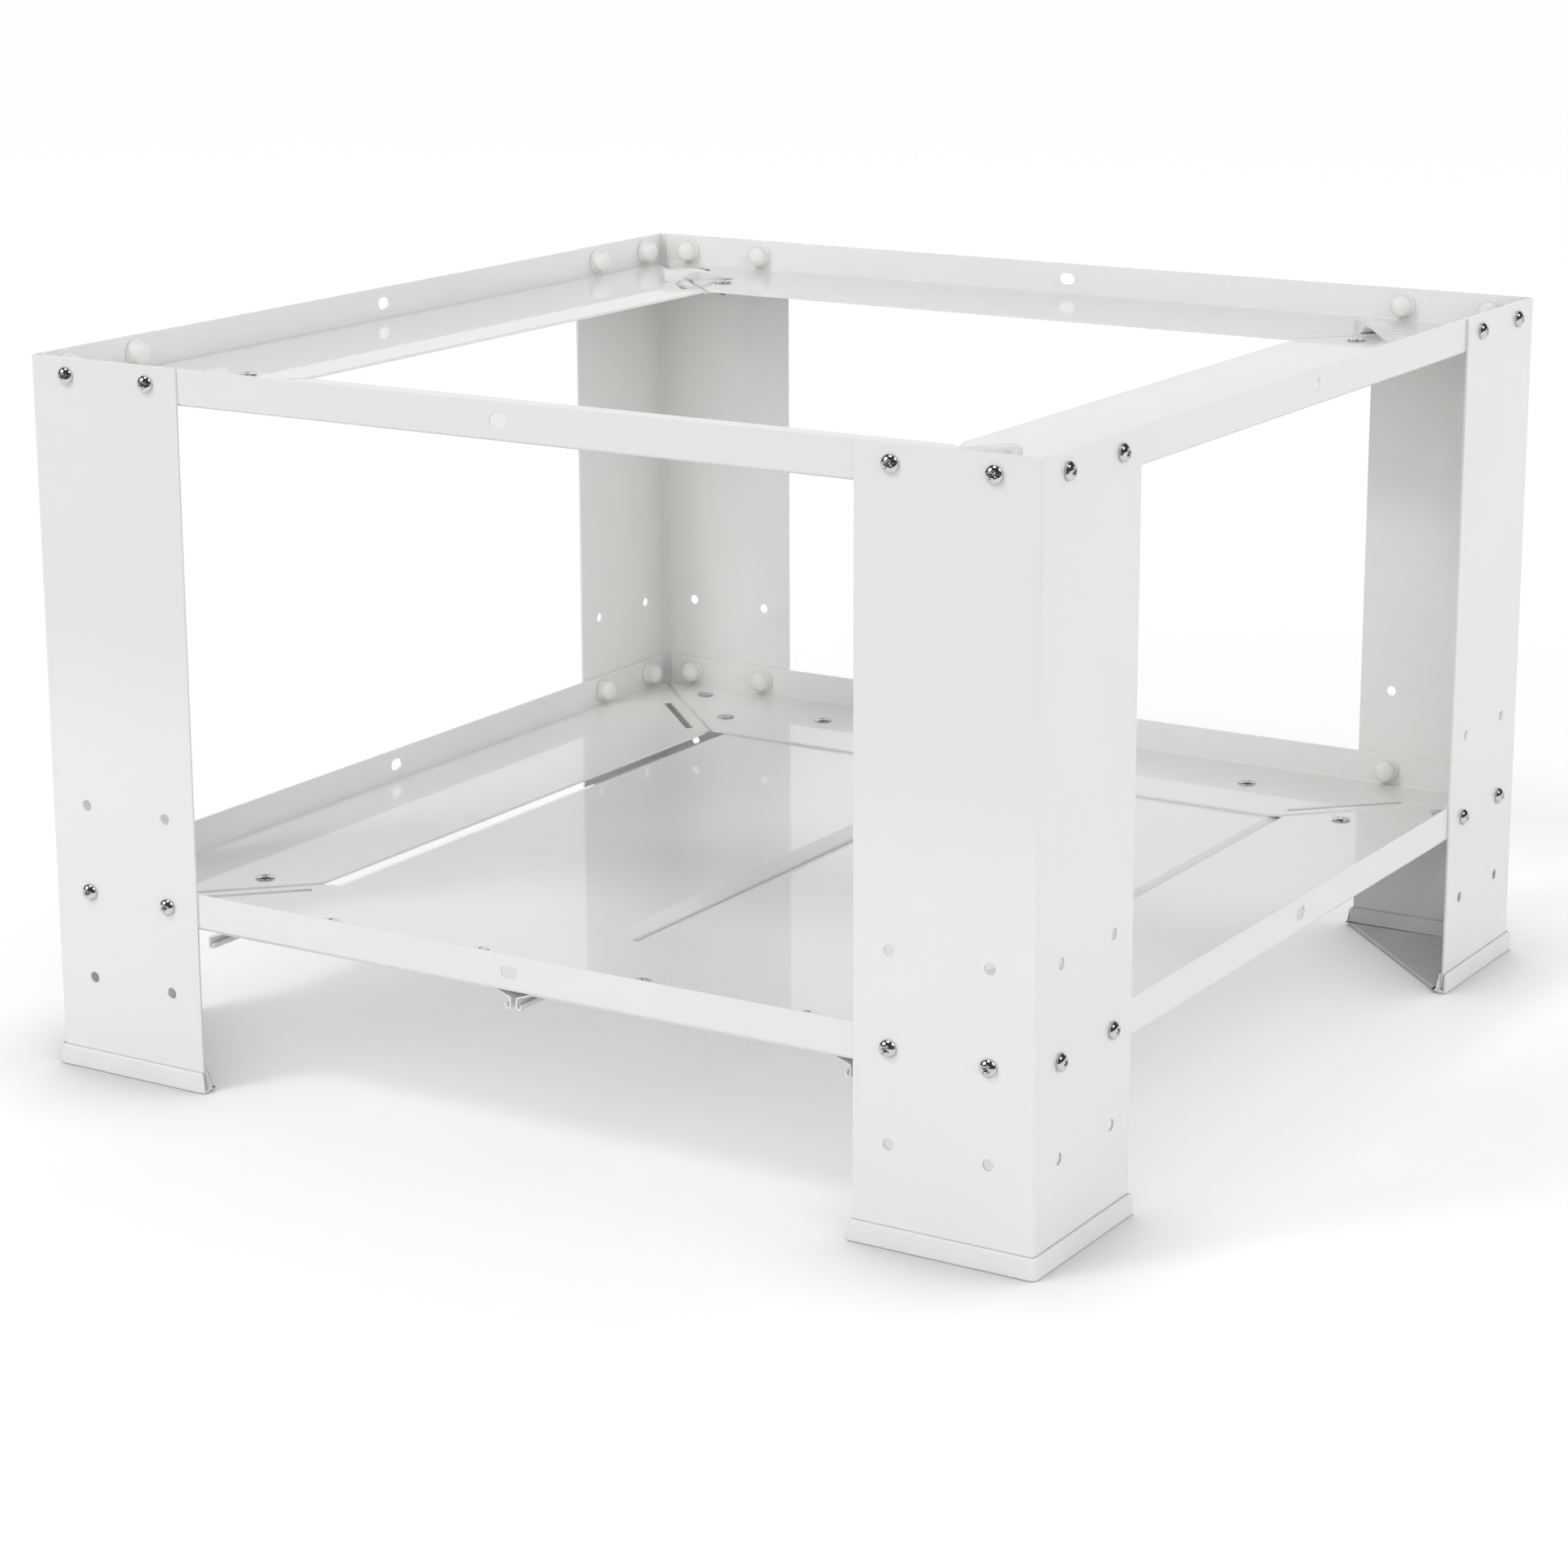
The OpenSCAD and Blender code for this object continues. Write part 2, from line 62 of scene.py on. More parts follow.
stand = 610          # over the outer faces of the legs, both ways
leg_h = 395
leg_flange = 100
sheet = 1.5          # legs and rails
frame_outer = stand - 2 * sheet
foot_floor = 2.5     # what a leg stands on inside its foot
leg_top = foot_floor + leg_h
hole_columns = [25, 80]
hole_drop = 9.5      # from a rail's top edge to its holes
shelf_row = 100      # from a leg's lower end to the holes that carry the shelf
row_pitch = 49       # from that row to the spare rows above and below it
rail_h = 20
rail_w = 102
upper_z = leg_top - rail_h
lower_z = foot_floor + shelf_row + hole_drop - rail_h
fold_r = 2.5         # outer radius of every fold
fold_steps = 8
print("flanges lie at", upper_z, "and", lower_z, "mm")

# %% [markdown]
# ## Helpers for sheet metal
# A folded sheet could be drawn as two skins with faces between them, but then each fold
# is drawn twice and the thickness is easily lost. A press brake starts from a flat sheet,
# so the natural way is to model only the outer face of a sheet, let the Solidify modifier
# give it thickness inwards, and let one exact Boolean punch all its holes. A Bevel
# modifier then eases each edge, as a thick powder coat does, and weighted normals keep
# the broad faces looking flat.


# %% Meshes from rows of points
def new_object(name, bm, closed=True):
    """Turns a bmesh into a linked object. A closed solid gets its faces turned outwards."""
    if closed:
        bmesh.ops.recalc_face_normals(bm, faces=bm.faces)
    mesh = bpy.data.meshes.new(name)
    bm.to_mesh(mesh)
    bm.free()
    made = bpy.data.objects.new(name, mesh)
    bpy.context.scene.collection.objects.link(made)
    return made


def strip(bm, first, second):
    """Quads between two rows of vertices."""
    for k in range(len(first) - 1):
        bm.faces.new([first[k], first[k + 1], second[k + 1], second[k]])


def prism(bm, outline, low, high, place=Matrix()):
    """A closed block with the given outline, from z = low to z = high."""
    bottom = [bm.verts.new(place @ Vector((x, y, low))) for x, y in outline]
    top = [bm.verts.new(place @ Vector((x, y, high))) for x, y in outline]
    bm.faces.new(bottom)
    bm.faces.new(top)
    strip(bm, bottom + bottom[:1], top + top[:1])


def arc(centre, radius, start, end, steps):
    """Points on an arc, from one angle to the other, in degrees."""
    angles = [math.radians(start + (end - start) * k / steps) for k in range(steps + 1)]
    return [(centre[0] + radius * math.cos(a), centre[1] + radius * math.sin(a)) for a in angles]


def rounded(points, radii, steps=6):
    """A polyline whose inner corners have become arcs."""
    out = [points[0]]
    for before, corner, after, radius in zip(points, points[1:], points[2:], radii):
        corner = Vector(corner)
        a, b = (Vector(before) - corner).normalized(), (Vector(after) - corner).normalized()
        half = a.angle(b) / 2
        centre = corner + (a + b).normalized() * (radius / math.sin(half))
        start, end = [corner + d * (radius / math.tan(half)) - centre for d in (a, b)]
        sweep = start.angle_signed(end)
        for k in range(steps + 1):
            turned = start.copy()
            turned.rotate(Matrix.Rotation(-sweep * k / steps, 2))
            out.append(tuple(centre + turned))
    return out + [points[-1]]


# %% Modifiers that finish a piece
def bake(made):
    """Replaces the mesh by what its modifiers make of it."""
    bpy.context.view_layer.update()
    graph = bpy.context.evaluated_depsgraph_get()
    mesh = bpy.data.meshes.new_from_object(made.evaluated_get(graph), depsgraph=graph)
    raw = made.data
    made.modifiers.clear()
    made.data = mesh
    bpy.data.meshes.remove(raw)
    return made


def thicken(made, thickness):
    """Gives an outer face its thickness, inwards."""
    solid = made.modifiers.new("thickness", "SOLIDIFY")
    solid.thickness = thickness
    solid.offset = -1
    solid.use_even_offset = True
    solid.use_quality_normals = True


def cut_with(made, cutter, operation="DIFFERENCE"):
    """Cuts one solid with another, or joins them, and removes the second."""
    punch = made.modifiers.new("cut", "BOOLEAN")
    punch.operation = operation
    punch.solver = "EXACT"
    punch.object = cutter
    bake(made)
    bpy.data.objects.remove(cutter)
    return made


def ease_edges(made, width, segments=3, angle=32):
    """Rounds every edge that is sharper than the angle, in degrees."""
    bevel = made.modifiers.new("eased", "BEVEL")
    bevel.width = width
    bevel.segments = segments
    bevel.limit_method = "ANGLE"
    bevel.angle_limit = math.radians(angle)
    bevel.use_clamp_overlap = False
    return bake(made)


# %% Placing pieces in the stand
def corner_place(index, width=stand):
    """The place of a corner: x runs along the side that starts there, counted round."""
    x, y = [(-1, -1), (1, -1), (1, 1), (-1, 1)][index]
    turn = Matrix.Rotation(math.radians(90 * index), 4, "Z")
    return Matrix.Translation((x * width / 2, y * width / 2, 0)) @ turn


def seam_point(along, aside):
    """A point by its place along a mitred seam and its distance aside, to the own rail."""
    return ((along + aside) / ROOT2, (along - aside) / ROOT2)


made_pieces = []


def install(name, pattern, places, node, material):
    bm = bmesh.new()
    for place in places:
        before = len(bm.verts)
        bm.from_mesh(pattern.data)
        bm.verts.ensure_lookup_table()
        bmesh.ops.transform(bm, matrix=place, verts=bm.verts[before:])
    bmesh.ops.scale(bm, vec=(MM, MM, MM), verts=bm.verts)
    for face in bm.faces:
        face.smooth = True
    piece = new_object(name, bm, closed=False)
    weigh = piece.modifiers.new("normals", "WEIGHTED_NORMAL")
    weigh.mode = "FACE_AREA"
    weigh.weight = 50
    bake(piece)
    piece.data.name = name
    piece.data.materials.clear()
    piece.data.materials.append(material)
    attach(piece, "root")
    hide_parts(node)
    made_pieces.append(piece)
    return piece


# %% [markdown]
# ## Finishes
# Three finishes cover the whole stand: powder coat, moulded plastic and bright chrome.
# They share two effects, so each effect is one node group. The first gives the slow
# drift of tone that no real surface is free of. The second gives a fine ripple, the
# orange peel of a sprayed coat or the grain of a mould. Painted pictures could do this
# too, but noise needs no unwrapping and stays sharp however close the camera comes.


# %% Shared shader groups
def new_group(name, inputs, outputs):
    """An empty node group with named sockets, and its two end nodes."""
    group = bpy.data.node_groups.new(name, "ShaderNodeTree")
    for label, kind, value in inputs:
        socket = group.interface.new_socket(label, in_out="INPUT", socket_type=kind)
        if value is not None:
            socket.default_value = value
    for label, kind in outputs:
        group.interface.new_socket(label, in_out="OUTPUT", socket_type=kind)
    return group, group.nodes.new("NodeGroupInput"), group.nodes.new("NodeGroupOutput")


def noise(tree, vector, scale, detail, roughness=0.5):
    """Noise from 0 to 1. The scale is a number or another node's output."""
    node = tree.nodes.new("ShaderNodeTexNoise")
    node.inputs["Detail"].default_value = detail
    node.inputs["Roughness"].default_value = roughness
    if isinstance(scale, (int, float)):
        node.inputs["Scale"].default_value = scale
    else:
        tree.links.new(scale, node.inputs["Scale"])
    tree.links.new(vector, node.inputs["Vector"])
    return node.outputs["Fac"]


def stretched(tree, value):
    """Noise keeps to the middle of its range, so this spreads the middle to 0 and 1."""
    node = tree.nodes.new("ShaderNodeMapRange")
    node.inputs["From Min"].default_value = 0.3
    node.inputs["From Max"].default_value = 0.7
    tree.links.new(value, node.inputs["Value"])
    return node


# %% The group of slow tones
smear_scale, smear_detail, smear_roughness = 61.0, 6, 0.6


def build_tone_group():
    """Colour and roughness that drift between two values over the surface."""
    group, start, end = new_group(
        "slow_tone",
        [
            ("Vector", "NodeSocketVector", None),
            ("Scale", "NodeSocketFloat", 9.0),
            ("Tone A", "NodeSocketColor", None),
            ("Tone B", "NodeSocketColor", None),
            ("Rough A", "NodeSocketFloat", 0.1),
            ("Rough B", "NodeSocketFloat", 0.2),
        ],
        [("Color", "NodeSocketColor"), ("Roughness", "NodeSocketFloat")],
    )
    drift = noise(group, start.outputs["Vector"], start.outputs["Scale"], 4)
    blend = group.nodes.new("ShaderNodeMix")
    blend.data_type = "RGBA"
    group.links.new(stretched(group, drift).outputs["Result"], blend.inputs["Factor"])
    group.links.new(start.outputs["Tone A"], blend.inputs["A"])
    group.links.new(start.outputs["Tone B"], blend.inputs["B"])
    smear = noise(group, start.outputs["Vector"], smear_scale, smear_detail, smear_roughness)
    rough = stretched(group, smear)
    group.links.new(start.outputs["Rough A"], rough.inputs["To Min"])
    group.links.new(start.outputs["Rough B"], rough.inputs["To Max"])
    group.links.new(blend.outputs["Result"], end.inputs["Color"])
    group.links.new(rough.outputs["Result"], end.inputs["Roughness"])
    return group


# %% The group of fine ripples
def build_ripple_group():
    """A height of two mixed ripples, one broad and one fine."""
    group, start, end = new_group(
        "fine_ripple",
        [
            ("Vector", "NodeSocketVector", None),
            ("Broad Scale", "NodeSocketFloat", 260.0),
            ("Fine Scale", "NodeSocketFloat", 900.0),
            ("Fine Share", "NodeSocketFloat", 0.4),
        ],
        [("Height", "NodeSocketFloat")],
    )
    broad = noise(group, start.outputs["Vector"], start.outputs["Broad Scale"], 1)
    fine = noise(group, start.outputs["Vector"], start.outputs["Fine Scale"], 2)
    blend = group.nodes.new("ShaderNodeMix")
    blend.data_type = "FLOAT"
    group.links.new(start.outputs["Fine Share"], blend.inputs["Factor"])
    group.links.new(broad, blend.inputs["A"])
    group.links.new(fine, blend.inputs["B"])
    group.links.new(blend.outputs["Result"], end.inputs["Height"])
    return group


slow_tone = build_tone_group()
fine_ripple = build_ripple_group()
print("shader groups:", slow_tone.name, fine_ripple.name)


# %% A finish from the two groups
def new_finish(name, tones, roughs, ripple, bump, constants, tone_scale=9.0):
    """A Principled material. tones, roughs and ripple vary over the surface through the
    groups; constants are set on the shader's own sockets."""
    material = bpy.data.materials.new(name)
    material.use_nodes = True
    tree = material.node_tree
    shader = tree.nodes["Principled BSDF"]
    where = tree.nodes.new("ShaderNodeTexCoord").outputs["Object"]
    tone = tree.nodes.new("ShaderNodeGroup")
    tone.node_tree = slow_tone
    tree.links.new(where, tone.inputs["Vector"])
    tone.inputs["Scale"].default_value = tone_scale
    for socket, colour in zip(("Tone A", "Tone B"), tones):
        tone.inputs[socket].default_value = (*colour, 1)
    for socket, value in zip(("Rough A", "Rough B"), roughs):
        tone.inputs[socket].default_value = value
    tree.links.new(tone.outputs["Color"], shader.inputs["Base Color"])
    tree.links.new(tone.outputs["Roughness"], shader.inputs["Roughness"])
    peel = tree.nodes.new("ShaderNodeGroup")
    peel.node_tree = fine_ripple
    tree.links.new(where, peel.inputs["Vector"])
    for socket, value in zip(("Broad Scale", "Fine Scale", "Fine Share"), ripple):
        peel.inputs[socket].default_value = value
    relief = tree.nodes.new("ShaderNodeBump")
    relief.inputs["Strength"].default_value = bump[0]
    relief.inputs["Distance"].default_value = bump[1]
    tree.links.new(peel.outputs["Height"], relief.inputs["Height"])
    tree.links.new(relief.outputs["Normal"], shader.inputs["Normal"])
    for socket, value in constants.items():
        shader.inputs[socket].default_value = value
    return material


# %% [markdown]
# The powder coat is a warm, nearly neutral white under a glossy skin: at grazing angles
# the level flanges mirror the rims. A lower roughness could give that shine, but it would
# also sharpen the soft gloss of the broad faces, so the skin is the shader's own coat
# layer. The plastic is a touch warmer and softer in its shine. The screws are bright
# chrome, almost a mirror, with a faint haze from polishing.

# %% The three finishes
powder_coat = new_finish(
    "white_powder_coat",
    [(0.874, 0.868, 0.855), (0.892, 0.886, 0.874)],
    (0.30, 0.38),
    (300.0, 1100.0, 0.35),
    (0.35, 0.00006),
    {"IOR": 1.5, "Coat Weight": 0.9, "Coat Roughness": 0.02},
)
moulded_plastic = new_finish(
    "white_moulded_plastic",
    [(0.872, 0.866, 0.850), (0.898, 0.892, 0.878)],
    (0.26, 0.36),
    (700.0, 2600.0, 0.6),
    (0.3, 0.00005),
    {"IOR": 1.46},
    tone_scale=40.0,
)
bright_chrome = new_finish(
    "bright_chrome",
    [(0.56, 0.57, 0.59), (0.66, 0.67, 0.69)],
    (0.04, 0.10),
    (1800.0, 6000.0, 0.5),
    (0.15, 0.00002),
    {"Metallic": 1.0},
    tone_scale=300.0,
)
print("finishes:", powder_coat.name, moulded_plastic.name, bright_chrome.name)

# %% [markdown]
# ## Legs
# A leg is one sheet folded to a right angle, with rows of holes that leave a choice of
# heights for the shelf. It could start as a box with two faces deleted and one edge
# bevelled. A profile of two straight flanges joined by a quarter circle, swept upwards,
# says the same with the real radius. All sixteen holes are punched in one cut, since
# every hole is a separate pin of the same cutter.


# %% Cutters
def pins(bm, centres, axis, diameter, length):
    """Closed round pins through the given points, for punching holes."""
    turn = Vector((0, 0, 1)).rotation_difference(Vector(axis)).to_matrix().to_4x4()
    for centre in centres:
        bmesh.ops.create_cone(
            bm, cap_ends=True, segments=48, radius1=diameter / 2, radius2=diameter / 2,
            depth=length, matrix=Matrix.Translation(centre) @ turn,
        )


# %% One leg
leg_hole = 6
punch_l = 8          # well past both faces of every sheet
coat_ease = 0.35     # how far the coat rounds the edges of legs and rails


def build_leg():
    bm = bmesh.new()
    fold = arc((fold_r, fold_r), fold_r, 180, 270, fold_steps)
    profile = [(0, leg_flange)] + fold + [(leg_flange, 0)]
    rows = [[bm.verts.new((x, y, z)) for x, y in profile] for z in (leg_top, foot_floor)]
    strip(bm, rows[1], rows[0])
    leg = new_object("leg_pattern", bm, closed=False)
    thicken(leg, sheet)
    bake(leg)
    holes = bmesh.new()
    heights = [shelf_row - row_pitch, shelf_row, shelf_row + row_pitch, leg_h - hole_drop]
    for column in hole_columns:
        spots = [foot_floor + h for h in heights]
        pins(holes, [(column, 0, z) for z in spots], (0, 1, 0), leg_hole, punch_l)
        pins(holes, [(0, column, z) for z in spots], (1, 0, 0), leg_hole, punch_l)
    cut_with(leg, new_object("leg_holes", holes))
    return ease_edges(leg, coat_ease)


leg = build_leg()
for index, corner in enumerate(CORNERS):
    install("folded_leg_" + corner, leg, [corner_place(index)], "leg_" + corner,
            powder_coat)
print("a leg has", len(leg.data.polygons), "faces")

# %% [markdown]
# ## Rails
# A rail is an angle with a low upright rim and a wide level flange. At one end the
# flange steps down by one sheet and runs on as a tongue under the next rail, so that the
# four rails of a frame lie level and are screwed together through the tongues. The step
# could be a second plate joined on, but that leaves a hard corner where the press leaves
# a soft one. So the rail is drawn from below and outside, as one open surface with a soft
# S in the step.

# %% Sizes of the rails
rail_l = frame_outer
rim_cut = 5          # from the frame's corner to each end of the rim
step_w = 4.5         # width of the step, and the edge beside it
step_edge = 0.5
step_rows = 6
seam_gap = 0.4       # open line between two mitred flanges
fold_back = 0.5      # how much the fold's far end stops before the rim's
tongue_reach = 28    # under the next rail, square to the seam
tongue_from = 6
tongue_to = 100
tongue_side = 4
flange_near = (step_w + step_edge) * ROOT2
flange_far = rail_l - seam_gap * ROOT2
fold_far = rail_l - rim_cut - fold_back
print("a rail is", rail_l, "mm long, and its flange starts at", round(flange_near, 2), "mm")


# %% The rim and the fold below it
def rim_and_fold(bm):
    """Draws both, from the rim's upper edge down, and gives the fold's last row."""
    rows = [[bm.verts.new((x, 0, rail_h)) for x in (rim_cut, rail_l - rim_cut)]]
    for k in range(fold_steps + 1):
        share = k / fold_steps
        turn = math.radians(90 * share)
        y, z = fold_r * (1 - math.cos(turn)), fold_r * (1 - math.sin(turn))
        near = rim_cut + (flange_near + fold_r - rim_cut) * share
        far = rail_l - rim_cut - (rail_l - rim_cut - fold_far) * share
        rows.append([bm.verts.new((x, y, z)) for x in (near, far)])
    for first, second in zip(rows, rows[1:]):
        strip(bm, first, second)
    return rows[-1]


# %% The flange, the step and the tongue
def step_lines(bm):
    """Lines across the tongue, from the flange's level down to one sheet below it."""
    lines = []
    for k in range(step_rows + 1):
        share = k / step_rows
        shift = step_w * ROOT2 * (1 - share)
        drop = -sheet * (3 * share ** 2 - 2 * share ** 3)
        lines.append([bm.verts.new((y + shift, y, drop)) for y in (tongue_from, tongue_to)])
    return lines


def rail_face():
    """The whole outer face of a rail, as one open surface."""
    bm = bmesh.new()
    fold_end = rim_and_fold(bm)
    lines = step_lines(bm)
    near_corner = bm.verts.new((flange_near + tongue_from, tongue_from, 0))
    flange = [(flange_near + tongue_to, tongue_to), (flange_near + rail_w, rail_w),
              (flange_far - rail_w, rail_w), (fold_far, flange_far - fold_far)]
    bm.faces.new([fold_end[1], fold_end[0], near_corner] + lines[0]
                 + [bm.verts.new((x, y, 0)) for x, y in flange])
    for first, second in zip(lines, lines[1:]):
        strip(bm, first[::-1], second[::-1])
    reach = tongue_reach * ROOT2
    tongue = [(tongue_to - reach, tongue_to), (tongue_side, tongue_side + reach),
              (tongue_side, tongue_from)]
    bm.faces.new(lines[-1] + [bm.verts.new((x, y, -sheet)) for x, y in tongue])
    return bm


# %% [markdown]
# A rail has three kinds of holes: round ones for bolts, an oblong one in the middle of
# the rim, and a slanted slot along the seam where a clip can sit. Places near a corner are
# counted along the seam and square to it, as they would be marked on the sheet.

# %% Sizes of the holes in a rail
seam_length = rail_w * ROOT2
rail_hole = 5.5
corner_bolts = [51.5, seam_length - 30]
corner_bolt_aside = 16.5
slot_from, slot_to = 63, seam_length - 7.5
slot_near, slot_far = 10, 15
oblong_l, oblong_w = 10.5, 7
panel_gap = 3
panel_w = (rail_l - 2 * rail_w - panel_gap) / 2
panel_bolt_off = 50
panel_bolts_in = 45
panel_bolts_x = [side * (panel_gap + panel_w) / 2 + off
                 for side in (-1, 1) for off in (-panel_bolt_off, panel_bolt_off)]
print("a panel is", panel_w, "mm wide")


# %% Punching and easing a rail
def rail_cutter(panel_bolts):
    """All the punches of a rail, apart from each other, as one object."""
    holes = bmesh.new()
    rim_z = rail_h - hole_drop
    columns = [column - sheet for column in hole_columns]
    rim_holes = [(x, 0, rim_z) for c in columns for x in (c, rail_l - c)]
    pins(holes, rim_holes, (0, 1, 0), rail_hole, punch_l)
    radius = oblong_w / 2
    half = oblong_l / 2 - radius
    oblong = arc((half, 0), radius, -90, 90, 20) + arc((-half, 0), radius, 90, 270, 20)
    upright = Matrix.Translation((rail_l / 2, 0, rim_z)) @ Matrix.Rotation(math.pi / 2, 4, "X")
    prism(holes, oblong, -punch_l / 2, punch_l / 2, upright)
    slot = [(slot_from, slot_near), (slot_to, slot_near),
            (slot_to, slot_far), (slot_from, slot_far)]
    prism(holes, [seam_point(*p) for p in slot], -punch_l / 2, punch_l / 2)
    for along in corner_bolts:
        x, y = seam_point(along, -corner_bolt_aside)
        pins(holes, [(x, y, 0), (rail_l - y, x, 0)], (0, 0, 1), rail_hole, punch_l)
    if panel_bolts:
        spots = [(rail_l / 2 + x, panel_bolts_in, 0) for x in panel_bolts_x]
        pins(holes, spots, (0, 0, 1), rail_hole, punch_l)
    return new_object("rail_holes", holes)


def build_rail(name, panel_bolts):
    bm = rail_face()
    bmesh.ops.recalc_face_normals(bm, faces=bm.faces)
    bm.faces.ensure_lookup_table()
    rim = bm.faces[0]
    if rim.normal.y > 0:
        bmesh.ops.reverse_faces(bm, faces=bm.faces)
    rail = new_object(name, bm, closed=False)
    thicken(rail, sheet)
    bake(rail)
    cut_with(rail, rail_cutter(panel_bolts))
    return ease_edges(rail, coat_ease)


# %% Install the rails
plain_rail = build_rail("rail_pattern", False)
shelf_rail = build_rail("shelf_rail_pattern", True)
for index, side in enumerate(SIDES):
    around = corner_place(index, frame_outer)
    install("upper_frame_rail_" + side, plain_rail, [Matrix.Translation((0, 0, upper_z)) @ around],
            "upper_rail_" + side, powder_coat)
    install("lower_frame_rail_" + side, plain_rail if index % 2 else shelf_rail,
            [Matrix.Translation((0, 0, lower_z)) @ around],
            "lower_rail_" + side, powder_coat)
print("a rail has", len(plain_rail.data.polygons), "faces")

# %% [markdown]
# ## Shelf panels
# Each panel is a thin tray: flat on top, with a sloping shoulder and a lip that curls
# under along both long edges, which stiffens it and hides the raw edge. A flat grid could
# be bent into this shape, but the curl is tighter than a grid bends well. So its section
# is drawn along the outer side, from one curl over the top to the other, and swept back.

# %% Sizes of a panel
panel_sheet = 1
panel_setback = 3    # from a panel's ends to the outer faces of the frame
panel_l = frame_outer - 2 * panel_setback
shoulder_w, shoulder_drop = 10, 3.5
lip_h = 6
curl_r, curl_up = 1.8, 1.5
shoulder_bends = [1.6, 3.0]
panel_ease = 0.25


# %% One shelf panel
def panel_section():
    """One half, from the curl's free edge to the flat top, and its mirror image."""
    curl_z = curl_r - shoulder_drop - panel_sheet - lip_h
    curl = arc((curl_r, curl_z), curl_r, 180, 360, 12)
    side = [(0, curl_z), (0, -shoulder_drop), (shoulder_w, 0), (panel_w / 2, 0)]
    half = [(2 * curl_r, curl_z + curl_up)] + curl[::-1] + rounded(side, shoulder_bends)[1:-1]
    return half + [(panel_w - x, z) for x, z in reversed(half)]


def build_panel():
    bm = bmesh.new()
    rows = [[bm.verts.new((x - panel_w / 2, y, z)) for x, z in panel_section()]
            for y in (-panel_l / 2, panel_l / 2)]
    strip(bm, rows[0], rows[1])
    panel = new_object("panel_pattern", bm, closed=False)
    thicken(panel, panel_sheet)
    bake(panel)
    holes = bmesh.new()
    inset = frame_outer / 2 - panel_bolts_in
    spots = [(x, y, 0) for x in (-panel_bolt_off, panel_bolt_off) for y in (-inset, inset)]
    pins(holes, spots, (0, 0, 1), rail_hole, punch_l)
    cut_with(panel, new_object("panel_holes", holes))
    return ease_edges(panel, panel_ease, 2)


# %% Install the panels
panel = build_panel()
for side, name in ((-1, "left"), (1, "right")):
    place = Matrix.Translation((side * (panel_gap + panel_w) / 2, 0, lower_z))
    install("shelf_tray_" + name, panel, [place], "shelf_panel_" + name,
            powder_coat)
print("a panel has", len(panel.data.polygons), "faces")

# %% [markdown]
# ## Feet
# A foot is one moulding: a three-cornered floor and an L-shaped channel that grips the
# end of the leg. Mouldings have draft, which lets them leave the mould, so the outer walls
# lean out a little towards the floor, and every edge is round. Sweeping a drafted section
# round the corner would give the walls, but not the ends, so a plain prism gets its draft
# by moving vertices. The channel is cut last, so that the rounding never widens it.

# %% Sizes of a foot
foot_h = 11.5
foot_out = 2.1       # outer wall, from the leg's outer face
foot_in = 3.6        # inner wall, from the same face
foot_reach = leg_flange + 2.3
foot_corner_r = 3.5
foot_draft = 0.35
foot_end_draft = 1.3
foot_ease = 1.1
foot_lap = 1         # how far the floor runs in under the channel
floor_back = 2       # how far the floor's corners stop before the channel's ends
grip = 0.03          # clearance of the leg in the channel


# %% One foot
def lean_out(band):
    """Gives the band its draft: thinner towards the top, on the walls and the ends."""
    for vert in band.verts:
        share = vert.co.z / foot_h
        for axis in (0, 1):
            if vert.co[axis] < -foot_out / 2:
                vert.co[axis] -= foot_draft * (1 - share)
            if vert.co[axis] > leg_flange:
                vert.co[axis] -= foot_end_draft * share


def build_foot():
    middle = foot_corner_r - foot_out
    corner = arc((middle, middle), foot_corner_r, 180, 270, 10)
    ends = [(foot_reach, -foot_out), (foot_reach, foot_in)]
    back = [(y, x) for x, y in reversed(ends)]
    band, floor = bmesh.new(), bmesh.new()
    prism(band, corner + ends + [(foot_in, foot_in)] + back, 0, foot_h)
    lean_out(band)
    foot = new_object("foot_pattern", band)
    tip = foot_reach - floor_back
    inner = [(foot_reach, foot_in), (foot_in, foot_reach),
             (foot_lap, tip), (foot_lap, foot_lap), (tip, foot_lap)]
    prism(floor, inner, 0, foot_floor)
    cut_with(foot, new_object("foot_floor", floor), "UNION")
    ease_edges(foot, foot_ease, 5)
    groove = bmesh.new()
    wide, past = sheet + grip, foot_reach + 2
    angle = [(-grip, -grip), (past, -grip), (past, wide),
             (wide, wide), (wide, past), (-grip, past)]
    prism(groove, angle, foot_floor, foot_h + 5)
    return cut_with(foot, new_object("foot_groove", groove))


# %% Install the feet
foot = build_foot()
for index, corner in enumerate(CORNERS):
    install("moulded_foot_" + corner, foot, [corner_place(index)], "foot_" + corner,
            moulded_plastic)
print("a foot has", len(foot.data.polygons), "faces")

# %% [markdown]
# ## Screws, nuts and caps
# Screws and caps are turned shapes, and a nut is a hexagon bar whose corners a lathe cuts
# back. The Screw modifier turns a profile too, but leaves a seam and doubled points on the
# axis that have to be merged. A loop over rings closes the shape by itself, as an exact
# Boolean needs it.


# %% Turned shapes
def turned(bm, profile, segments=40):
    """Turns a profile of (radius, height) points round the z axis."""
    rings = []
    for radius, z in profile:
        if radius < 1e-6:
            rings.append([bm.verts.new((0, 0, z))])
            continue
        angles = [2 * math.pi * k / segments for k in range(segments)]
        ring = [bm.verts.new((radius * math.cos(a), radius * math.sin(a), z)) for a in angles]
        rings.append(ring)
    for first, second in zip(rings, rings[1:]):
        for k in range(segments):
            a, b = k % len(first), (k + 1) % len(first)
            c, d = (k + 1) % len(second), k % len(second)
            corners = [first[a], first[b], second[c], second[d]]
            bm.faces.new(list(dict.fromkeys(corners)))


